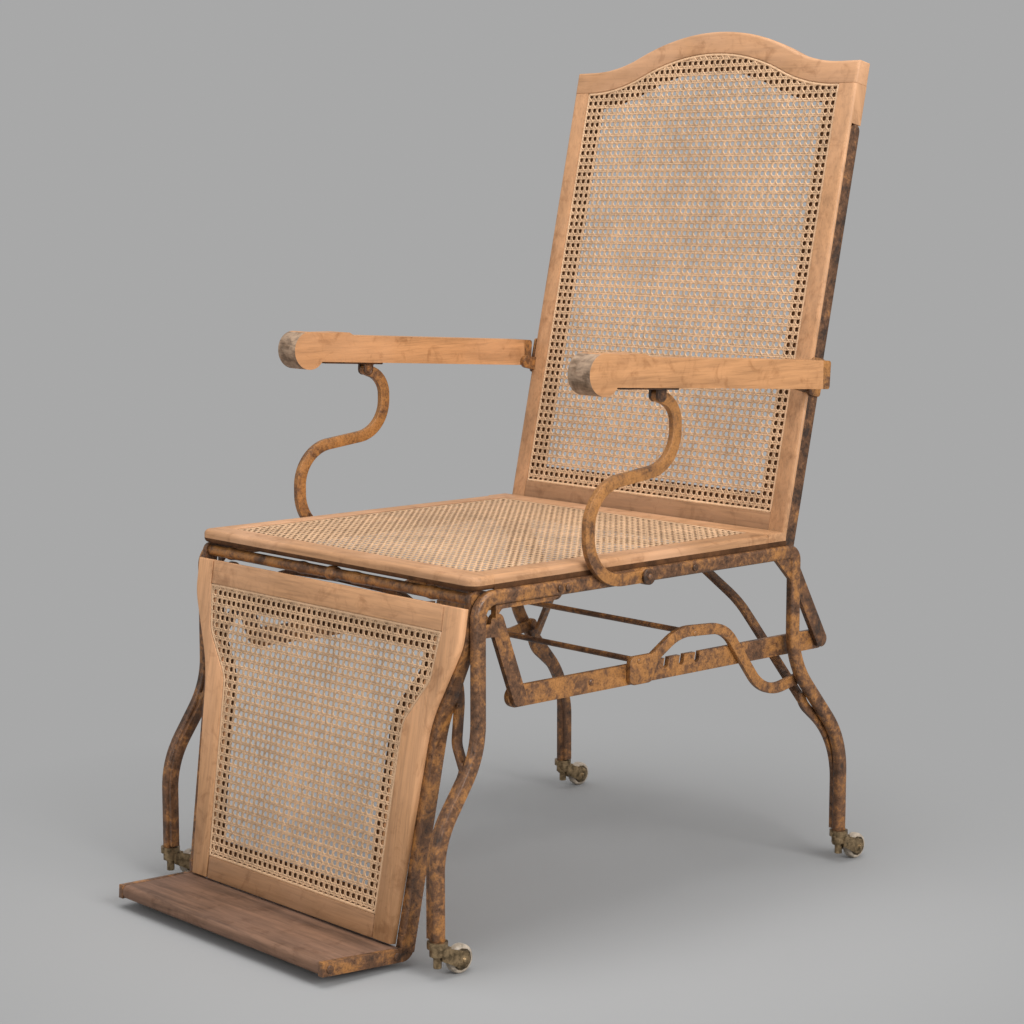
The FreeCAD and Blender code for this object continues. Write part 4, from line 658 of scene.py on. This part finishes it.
def panel_of(node, facing):
    """The outline of a flat CAD panel's face, in a plane of its own, and that plane's place."""
    mesh = bmesh.new()
    mesh.from_mesh(frame["nodes"][node].data)
    bmesh.ops.remove_doubles(mesh, verts=mesh.verts, dist=MERGE_DISTANCE)
    front = [face for face in mesh.faces if face.normal.dot(facing) > FACING]
    normal = Vector(front[0].normal)
    across = Vector((1.0, 0.0, 0.0))
    up = normal.cross(across)
    chosen = set(front)
    border = {}
    for edge in mesh.edges:
        inside = [face for face in edge.link_faces if face in chosen]
        if len(inside) == 1:
            first, second = edge.verts
            border.setdefault(first, []).append(second)
            border.setdefault(second, []).append(first)
    start = min(border, key=lambda vert: (vert.co.dot(up), vert.co.x))
    loop = [start]
    previous = None
    while True:
        following = [vert for vert in border[loop[-1]] if vert is not previous][0]
        if following is start:
            break
        previous = loop[-1]
        loop.append(following)
    origin = sum((vert.co for vert in loop), Vector()) / len(loop)
    origin.x = 0.0
    turned = Matrix((across, up, normal)).transposed().to_4x4()
    plane = Matrix.Translation(origin) @ turned
    outline = [(plane.inverted() @ vert.co).to_2d() for vert in loop]
    mesh.free()
    return outline, plane


def inside_spans(outline, start, way):
    """Where a line runs inside an outline, as pairs of distances along it."""
    side = Vector((-way.y, way.x))
    cuts = []
    for first, second in sides_of(outline):
        low = (first - start).dot(side)
        high = (second - start).dot(side)
        if (low > 0) != (high > 0):
            share = low / (low - high)
            cuts.append((first + (second - first) * share - start).dot(way))
    cuts.sort()
    return list(zip(cuts[0::2], cuts[1::2]))


def shrunk(outline, distance):
    """An outline moved inwards by a distance."""
    turn = sum(first.cross(second) for first, second in sides_of(outline))
    sign = 1 if turn > 0 else -1
    result = []
    for index, point in enumerate(outline):
        before = (point - outline[index - 1]).normalized()
        after = (outline[(index + 1) % len(outline)] - point).normalized()
        first = Vector((-before.y, before.x)) * sign
        second = Vector((-after.y, after.x)) * sign
        middle = (first + second).normalized()
        result.append(point + middle * distance / max(0.3, middle.dot(first)))
    return result


def resampled(outline, step):
    """Points at an even distance round a closed outline."""
    points = []
    for first, second in sides_of(outline):
        count = max(1, round((second - first).length / step))
        points += [first + (second - first) * part / count for part in range(count)]
    return points


def gap_to(point, first, second):
    """The distance from a point to the piece of line between two others."""
    along = second - first
    share = min(1.0, max(0.0, (point - first).dot(along) / along.length_squared))
    return (point - first - along * share).length


def inset(outline, distance):
    """An outline moved inwards, without points where it would fold over itself or crowd."""
    sides = sides_of(outline)
    kept = []
    for point in shrunk(resampled(outline, LIP_STEP), distance):
        if min(gap_to(point, first, second) for first, second in sides) < distance * 0.98:
            continue
        if all((point - other).length > LIP_SPACING for other in kept):
            kept.append(point)
    return kept


# Woven cane

def strand_lines(settings, reach, diagonal):
    """Endless lines of (start, way, step between knots, first side up, number) that cover a panel:
    pairs across and along, or the two ways on the slant."""
    pitch = settings.pitch
    if diagonal:
        step = pitch / math.sqrt(2)
        ways = (Vector((1, 1)).normalized(), Vector((1, -1)).normalized())
        offsets = (0.0,)
    else:
        step = pitch
        ways = (Vector((0, 1)), Vector((1, 0)))
        offsets = (-0.5 * settings.pair_spread, 0.5 * settings.pair_spread)
    count = int(reach / step) + 2
    lines = []
    for way, sign in zip(ways, (1, -1)):
        side = Vector((-way.y, way.x))
        for number in range(-count, count + 1):
            for offset in offsets:
                start = side * ((number + 0.5) * step + offset)
                lines.append((start, way, step, sign, number))
    return lines


def weave_guides(outline, settings, diagonal):
    """Centre lines of the strands inside an outline, over and under each other in turn."""
    reach = max(point.length for point in outline) + settings.pitch
    rise = settings.strand_thickness * (SLANTED_LIFT if diagonal else STRAIGHT_LIFT)
    strands = []
    for start, way, step, sign, number in strand_lines(settings, reach, diagonal):
        phase = step / 2 if diagonal else 0.0
        for low, high in inside_spans(outline, start, way):
            if high - low < step * SHORTEST_STRAND:
                continue
            first = math.ceil((low - phase) / step - 0.5 + KNOT_MARGIN)
            last = math.floor((high - phase) / step - 0.5 - KNOT_MARGIN)
            strand = [(start + way * low).to_3d()]
            for knot in range(first, last + 1):
                point = (start + way * (phase + (knot + 0.5) * step)).to_3d()
                point.z = sign * rise * (1 if (knot + number) % 2 else -1)
                strand.append(point)
            strand.append((start + way * high).to_3d())
            strands.append([tuple(point) for point in strand])
    return strands


def strand_tree():
    """Geometry nodes that sweep a flat rounded strand along every edge of a guide mesh."""
    tree = bpy.data.node_groups.get("cane_strands")
    if tree:
        return tree
    tree = bpy.data.node_groups.new("cane_strands", "GeometryNodeTree")
    tree.is_modifier = True
    face = tree.interface
    face.new_socket("Guides", in_out="INPUT", socket_type="NodeSocketGeometry")
    for name in ("Width", "Thickness"):
        face.new_socket(name, in_out="INPUT", socket_type="NodeSocketFloat").subtype = "DISTANCE"
    face.new_socket("Material", in_out="INPUT", socket_type="NodeSocketMaterial")
    face.new_socket("Strands", in_out="OUTPUT", socket_type="NodeSocketGeometry")
    entry = tree.nodes.new("NodeGroupInput")
    leave = tree.nodes.new("NodeGroupOutput")
    curves = add_node(tree, "GeometryNodeMeshToCurve", {"Mesh": entry.outputs["Guides"]})
    upright = add_node(tree, "GeometryNodeSetCurveNormal", {"Curve": curves.outputs["Curve"]},
                       mode="Z_UP")
    ring = add_node(tree, "GeometryNodeCurvePrimitiveCircle", {"Resolution": 5, "Radius": 0.5})
    size = add_node(tree, "ShaderNodeCombineXYZ", {
        "X": entry.outputs["Width"], "Y": entry.outputs["Thickness"], "Z": 1.0})
    section = add_node(tree, "GeometryNodeTransform", {
        "Geometry": ring.outputs["Curve"], "Scale": size.outputs["Vector"]})
    swept = add_node(tree, "GeometryNodeCurveToMesh", {
        "Curve": upright.outputs["Curve"], "Profile Curve": section.outputs["Geometry"],
        "Fill Caps": True})
    smooth = add_node(tree, "GeometryNodeSetShadeSmooth", {"Geometry": swept.outputs["Mesh"]})
    coated = add_node(tree, "GeometryNodeSetMaterial", {
        "Geometry": smooth.outputs["Geometry"], "Material": entry.outputs["Material"]})
    tree.links.new(coated.outputs["Geometry"], leave.inputs["Strands"])
    return tree


def swept_strands(name, strands, width, thickness, place, seed, closed=False):
    """Sweep strands in a panel's plane and put the result in its place."""
    chance = random.Random(seed)
    points = []
    edges = []
    tones = []
    for strand in strands:
        base = len(points)
        points += strand
        tones += [chance.random()] * len(strand)
        edges += [(base + index, base + index + 1) for index in range(len(strand) - 1)]
        if closed:
            edges.append((base + len(strand) - 1, base))
    guide = bpy.data.meshes.new(name + "_guide")
    guide.from_pydata(points, edges, [])
    guide.attributes.new("strand_tone", "FLOAT", "POINT").data.foreach_set("value", tones)
    holder = link(name + "_guide", guide)
    tree = strand_tree()
    modifier = holder.modifiers.new("strands", "NODES")
    modifier.node_group = tree
    values = {"Width": width, "Thickness": thickness, "Material": plain("cane")}
    for item in tree.interface.items_tree:
        if item.in_out == "INPUT" and item.name in values:
            modifier[item.identifier] = values[item.name]
    bpy.context.view_layer.update()
    evaluated = holder.evaluated_get(bpy.context.evaluated_depsgraph_get())
    data = bpy.data.meshes.new_from_object(evaluated)
    data.name = name
    bpy.data.objects.remove(holder)
    data.transform(place)
    piece = link(name, data)
    with edited(piece) as mesh:
        bmesh.ops.recalc_face_normals(mesh, faces=mesh.faces)
    return piece


def shade_border(node, outline, plane):
    """A thin dark sheet on the ledge, behind the outer rows of the cane: painted shade where the
    holes show the shadowed ledge.
    """
    outer = inset(outline, LIP_START)
    inner = inset(outline, LIP_END)
    triangles = tessellate_polygon([[point.to_3d() for point in line] for line in (outer, inner)])
    mesh = bmesh.new()
    layers = [[mesh.verts.new(plane @ Vector((point.x, point.y, depth)))
               for point in outer + inner] for depth in LIP_DEPTHS]
    for layer in layers:
        for triangle in triangles:
            mesh.faces.new([layer[index] for index in triangle])
    front, rear = layers
    for first, count in ((0, len(outer)), (len(outer), len(inner))):
        for index in range(count):
            here, after = first + index, first + (index + 1) % count
            mesh.faces.new((front[here], front[after], rear[after], rear[here]))
    bmesh.ops.recalc_face_normals(mesh, faces=mesh.faces)
    piece = as_object(node + "_border", mesh)
    hand_over(piece, plain("ledge"), [], BODY_OF[node])


def weave_panel(node, facing, seed, lip=True):
    """Replace a plain CAD panel by woven strands with a binder strip round its edge."""
    settings = bpy.context.scene.chair_cane
    outline, plane = panel_of(node, facing)
    body = BODY_OF[node]
    thickness = settings.strand_thickness
    place = plane @ Matrix.Translation((0.0, 0.0, -WEAVE_DEPTH * thickness))
    for kind, diagonal in (("straight", False), ("slanted", True)):
        strands = weave_guides(outline, settings, diagonal)
        piece = swept_strands("%s_%s_strands" % (node, kind), strands, settings.strand_width,
                              thickness, place, seed + diagonal)
        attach(piece, body)
        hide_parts(node)
    # The lip is a dark sheet of painted shade behind the cane's outer rows
    if lip:
        shade_border(node, outline, plane)
    edge = resampled(shrunk(outline, settings.binder_width * 0.45), BINDER_STEP)
    ring = [(point.x, point.y, thickness * 0.4) for point in edge]
    binder = swept_strands(node + "_binder", [ring], settings.binder_width, BINDER_THICKNESS,
                           place, seed, closed=True)
    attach(binder, body)


# Operators

class CHAIR_OT_iron_frame(Operator):
    """Finish the iron bars, rods, braces, irons and levers"""

    bl_idname = "chair.iron_frame"
    bl_label = "Iron Frame"

    def execute(self, context):
        for node in frame["nodes"]:
            if SLOT_OF.get(node) == "iron":
                paint_node(node, iron("rusty"))
        turned_rod("front_cross_rod", iron("ochre"))
        for node in ("footboard_screws", "rail_rivets", "arm_support_bolts"):
            dressed_copy(node, iron("dark"), width=0.0011, segments=3)
        for kind, tint in (("link_bar", "ochre"), ("catch_lever", "ochre"),
                           ("arm_support", "orange"), ("arm_plate", "black"),
                           ("back_iron", "black"), ("leg_rest_iron", "rusty"),
                           ("side_frame", "rusty")):
            for side, _ in SIDES:
                dressed_copy("%s_%s" % (kind, side), iron(tint), width=0.0012)
        for node, tint in (("front_arch_brace", "rusty"), ("rear_arch_brace", "rusty"),
                           ("arm_hinge_brackets", "ochre")):
            dressed_copy(node, iron(tint), width=0.0012)
        return {"FINISHED"}


class CHAIR_OT_bolt_caps(Operator):
    """Add round heads to the arm supports' bolts, the link bars and the catch's rods"""

    bl_idname = "chair.bolt_caps"
    bl_label = "Bolt Caps"

    def execute(self, context):
        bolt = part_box("arm_support_bolts")
        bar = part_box("link_bar_right")
        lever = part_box("catch_lever_right")
        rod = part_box("catch_rod")
        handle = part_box("catch_handle_rod")
        on_link = Vector((0.0, LINK_BOLT_Y, (bar[0].z + bar[1].z) / 2))
        catch = BODY_OF["catch_rod"]
        heads = (("arm_bolt", bolt[1].x, (bolt[0] + bolt[1]) / 2, ARM_BOLT_HEAD,
                  BODY_OF["arm_support_bolts"]),
                 ("link_bolt", bar[1].x, on_link, LINK_BOLT_HEAD, None),
                 ("catch_rod_end", lever[1].x, (rod[0] + rod[1]) / 2, ROD_END_HEAD, catch),
                 ("handle_rod_end", lever[1].x, (handle[0] + handle[1]) / 2, ROD_END_HEAD, catch))
        for name, x, middle, (radius, height), body in heads:
            for side, sign in SIDES:
                profile = [(-HEAD_SEAT * sign, 0.0), (-HEAD_SEAT * sign, radius)]
                for step in range(1, HEAD_STEPS):
                    angle = math.pi / 2 * step / HEAD_STEPS
                    profile.append((height * math.sin(angle) * sign, radius * math.cos(angle)))
                profile.append((height * sign, 0.0))
                cap = lathed("%s_%s" % (name, side), profile,
                             Vector((x * sign, middle.y, middle.z)), HEAD_SEGMENTS)
                hand_over(cap, iron("rusty"), [], body or BODY_OF["link_bar_" + side])
        return {"FINISHED"}


class CHAIR_OT_castors(Operator):
    """Finish the brass castors and their pale wheels"""

    bl_idname = "chair.castors"
    bl_label = "Castors"

    def execute(self, context):
        brass = plain("brass")
        paint_node("castor_sockets", brass)
        for corner in CORNERS:
            dressed_copy("castor_fork_" + corner, brass, width=0.0006)
            node = "castor_wheel_" + corner
            wheel = dressed_copy(node, plain("porcelain"), width=0.0006)
            wheel.data.materials.append(plain("hub"))
            low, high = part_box(node)
            axle = (low + high) / 2
            for face in wheel.data.polygons:
                centre = face.center - axle
                if math.hypot(centre.y, centre.z) < HUB_RADIUS:
                    face.material_index = 1
        return {"FINISHED"}


class CHAIR_OT_seat(Operator):
    """Finish the seat frame and weave its cane"""

    bl_idname = "chair.seat"
    bl_label = "Seat"

    def execute(self, context):
        tone = context.scene.chair_finish.frame_wood
        across = grained_wood("seat_wood_across", tone, "X", gloss=0.5, wear=0.6)
        along = grained_wood("seat_wood_along", tone, "Y", gloss=0.5, wear=0.6)
        for node, wood in (("seat_front_rail", across), ("seat_back_rail", across),
                           ("seat_side_rail_left", along), ("seat_side_rail_right", along)):
            rail = dressed_copy(node, wood, width=0.0005)
            # The wood behind the cane and the lower part of each rail get painted shade
            shade_under(rail, "seat_cane", SEAT_FACING)
            shade_below(rail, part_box(node)[1].z - LIT_RAIL_HEIGHT)
        weave_panel("seat_cane", SEAT_FACING, seed=11, lip=False)
        return {"FINISHED"}


class CHAIR_OT_back(Operator):
    """Finish the back frame and weave its cane"""

    bl_idname = "chair.back"
    bl_label = "Back"

    def execute(self, context):
        tone = Vector(context.scene.chair_finish.frame_wood)
        across = grained_wood("back_wood_across", tone * 1.05, "X", BACK_LEAN, gloss=0.42,
                              wear=0.5)
        lower = grained_wood("back_wood_lower", tone * 0.74, "X", BACK_LEAN, gloss=0.42)
        upright = grained_wood("back_wood_upright", tone * 1.06, "Z", BACK_LEAN, gloss=0.42)
        for node, wood, width in (("back_crest_rail", across, 0.0012),
                                  ("back_bottom_rail", lower, 0.0005),
                                  ("back_stile_left", upright, 0.0005),
                                  ("back_stile_right", upright, 0.0005)):
            piece = dressed_copy(node, wood, width, facing=BACK_FACING,
                                 top=node == "back_crest_rail")
            # The wood behind the cane gets painted shade
            shade_under(piece, "back_cane", BACK_FACING)
        weave_panel("back_cane", BACK_FACING, seed=23)
        return {"FINISHED"}


class CHAIR_OT_leg_rest(Operator):
    """Finish the leg rest and weave its cane"""

    bl_idname = "chair.leg_rest"
    bl_label = "Leg Rest"

    def execute(self, context):
        finish = context.scene.chair_finish
        tone = Vector(finish.frame_wood)
        across = grained_wood("rest_wood_across", tone * 1.2, "X", REST_LEAN, gloss=0.42)
        lower = grained_wood("rest_wood_lower", tone * 0.70, "X", REST_LEAN, gloss=0.42)
        upright = grained_wood("rest_wood_upright", tone * 1.32, "Z", REST_LEAN, gloss=0.42,
                               darker_below=0.36)
        for node, wood, width in (("leg_rest_top_rail", across, 0.0006),
                                  ("leg_rest_bottom_rail", lower, 0.0006),
                                  ("leg_rest_stile_left", upright, 0.0010),
                                  ("leg_rest_stile_right", upright, 0.0010)):
            piece = dressed_copy(node, wood, width, facing=REST_FACING)
            # The wood behind the cane gets painted shade
            shade_under(piece, "leg_rest_cane", REST_FACING)
        weave_panel("leg_rest_cane", REST_FACING, seed=37)
        foot = grained_wood("footboard_wood", finish.foot_wood, "X", gloss=0.62, figure=2.2)
        dressed_copy("footboard", foot, width=0.0012)
        return {"FINISHED"}


class CHAIR_OT_arms(Operator):
    """Finish the wooden arms"""

    bl_idname = "chair.arms"
    bl_label = "Arms"

    def execute(self, context):
        wood = grained_wood("polished_arm_wood", context.scene.chair_finish.arm_wood, "Y",
                            gloss=0.36, figure=1.1)
        for side, _ in SIDES:
            arm = dressed_copy("arm_" + side, wood, width=0.003, segments=3)
            arm.data.materials.append(plain("end_grain"))
            arm.data.materials.append(iron("ochre"))
            low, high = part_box("arm_" + side)
            cap = high.y - ARM_CAP_LENGTH
            split_at(arm, Vector((0.0, cap, 0.0)), Vector((0.0, 1.0, 0.0)))
            for face in arm.data.polygons:
                forward = face.normal.y < -0.25 and abs(face.normal.x) < 0.5
                if forward and face.center.y < low.y + END_GRAIN_LENGTH:
                    face.material_index = 1
                elif face.center.y > cap:
                    face.material_index = 2
        return {"FINISHED"}


class CHAIR_OT_stage(Operator):
    """Set up the floor, backdrop, lamps and camera"""

    bl_idname = "chair.stage"
    bl_label = "Stage"

    def execute(self, context):
        scene = context.scene
        settings = scene.chair_stage
        scene.view_settings.view_transform = "Standard"
        build_world(scene, settings)
        build_floor(settings)
        for name, power, size, place in LAMPS:
            add_lamp(name, getattr(settings, power), size, place)
        build_camera(scene, settings)
        return {"FINISHED"}


def build_world(scene, settings):
    """White light from all round, behind which the camera sees the backdrop's grey."""
    world = bpy.data.worlds.new("studio")
    world.use_nodes = True
    tree = world.node_tree
    tree.nodes.clear()
    rays = add_node(tree, "ShaderNodeLightPath")
    seen = math_node(tree, "MAXIMUM", rays.outputs["Is Camera Ray"],
                     math_node(tree, "MAXIMUM", rays.outputs["Is Glossy Ray"],
                               rays.outputs["Is Transmission Ray"]))
    lit = add_node(tree, "ShaderNodeBackground", {
        "Color": (1.0, 1.0, 1.0, 1.0), "Strength": settings.ambient})
    shown = add_node(tree, "ShaderNodeBackground", {"Color": colour(settings.backdrop)})
    both = add_node(tree, "ShaderNodeMixShader", {
        0: seen, 1: lit.outputs[0], 2: shown.outputs[0]})
    add_node(tree, "ShaderNodeOutputWorld", {"Surface": both.outputs[0]})
    scene.world = world


def build_floor(settings):
    """A round floor that fades into the backdrop away from the chair."""
    mesh = bmesh.new()
    bmesh.ops.create_circle(mesh, cap_ends=True, segments=96, radius=FLOOR_RADIUS)
    floor = as_object("studio_floor", mesh)
    floor.data.materials.append(painted("studio_floor", paint_floor, settings))


def paint_floor(tree, shader, where, settings):
    """Shaded near the chair, and the backdrop's plain grey to the camera away from it."""
    feed(tree, shader, base_color=colour(settings.floor_tone), roughness=1.0,
         specular_ior_level=0.0)
    distance = add_node(tree, "ShaderNodeVectorMath", {0: where}, operation="LENGTH")
    share = math_node(tree, "DIVIDE", distance.outputs["Value"], FADE_REACH)
    fade = ramp(tree, share, (0.12, 0.0), (0.24, 1.0))
    glow = add_node(tree, "ShaderNodeEmission", {"Color": colour(settings.backdrop)})
    rays = add_node(tree, "ShaderNodeLightPath")
    seen = math_node(tree, "MULTIPLY", fade, rays.outputs["Is Camera Ray"])
    both = add_node(tree, "ShaderNodeMixShader", {
        0: seen, 1: shader.outputs[0], 2: glow.outputs[0]})
    tree.links.new(both.outputs[0], tree.nodes["Material Output"].inputs["Surface"])


def add_lamp(name, power, size, place):
    """A square lamp that looks at the chair's middle."""
    data = bpy.data.lights.new(name, "AREA")
    data.energy = power
    data.size = size
    lamp = link(name, data)
    lamp.location = place
    lamp.rotation_euler = (LAMP_TARGET - Vector(place)).to_track_quat("-Z", "Y").to_euler()


def build_camera(scene, settings):
    """The photograph's viewpoint: to the front right, above the arms."""
    data = bpy.data.cameras.new("photo_view")
    data.sensor_width = SENSOR_WIDTH
    data.lens = settings.focal_length
    camera = link("photo_view", data)
    camera.location = CAMERA_PLACE
    way = Vector((-math.sin(CAMERA_AZIMUTH) * math.cos(CAMERA_PITCH),
                  math.cos(CAMERA_AZIMUTH) * math.cos(CAMERA_PITCH),
                  -math.sin(CAMERA_PITCH)))
    camera.rotation_euler = way.to_track_quat("-Z", "Y").to_euler()
    scene.camera = camera


class CHAIR_PT_panel(Panel):
    """Lists the chair's settings and the steps that build it"""

    bl_label = "Planters Chair"
    bl_idname = "CHAIR_PT_panel"
    bl_space_type = "VIEW_3D"
    bl_region_type = "UI"
    bl_category = "Chair"

    def draw(self, context):
        layout = self.layout
        scene = context.scene
        for group in (scene.chair_cane, scene.chair_finish, scene.chair_stage):
            box = layout.box()
            for name in group.bl_rna.properties.keys():
                if name not in ("rna_type", "name"):
                    box.prop(group, name)
        for operator in STEPS:
            layout.operator(operator.bl_idname)


STEPS = (CHAIR_OT_iron_frame, CHAIR_OT_bolt_caps, CHAIR_OT_castors, CHAIR_OT_seat, CHAIR_OT_back,
         CHAIR_OT_leg_rest, CHAIR_OT_arms, CHAIR_OT_stage)
GROUPS = (CaneSettings, FinishSettings, StageSettings)


def register():
    for item in GROUPS + STEPS + (CHAIR_PT_panel,):
        bpy.utils.register_class(item)
    bpy.types.Scene.chair_cane = PointerProperty(type=CaneSettings)
    bpy.types.Scene.chair_finish = PointerProperty(type=FinishSettings)
    bpy.types.Scene.chair_stage = PointerProperty(type=StageSettings)


def unregister():
    del bpy.types.Scene.chair_stage
    del bpy.types.Scene.chair_finish
    del bpy.types.Scene.chair_cane
    for item in reversed(GROUPS + STEPS + (CHAIR_PT_panel,)):
        bpy.utils.unregister_class(item)


def main():
    register()
    bpy.ops.chair.iron_frame()
    bpy.ops.chair.bolt_caps()
    bpy.ops.chair.castors()
    bpy.ops.chair.seat()
    bpy.ops.chair.back()
    bpy.ops.chair.leg_rest()
    bpy.ops.chair.arms()
    bpy.ops.chair.stage()


if __name__ == "__main__":
    main()
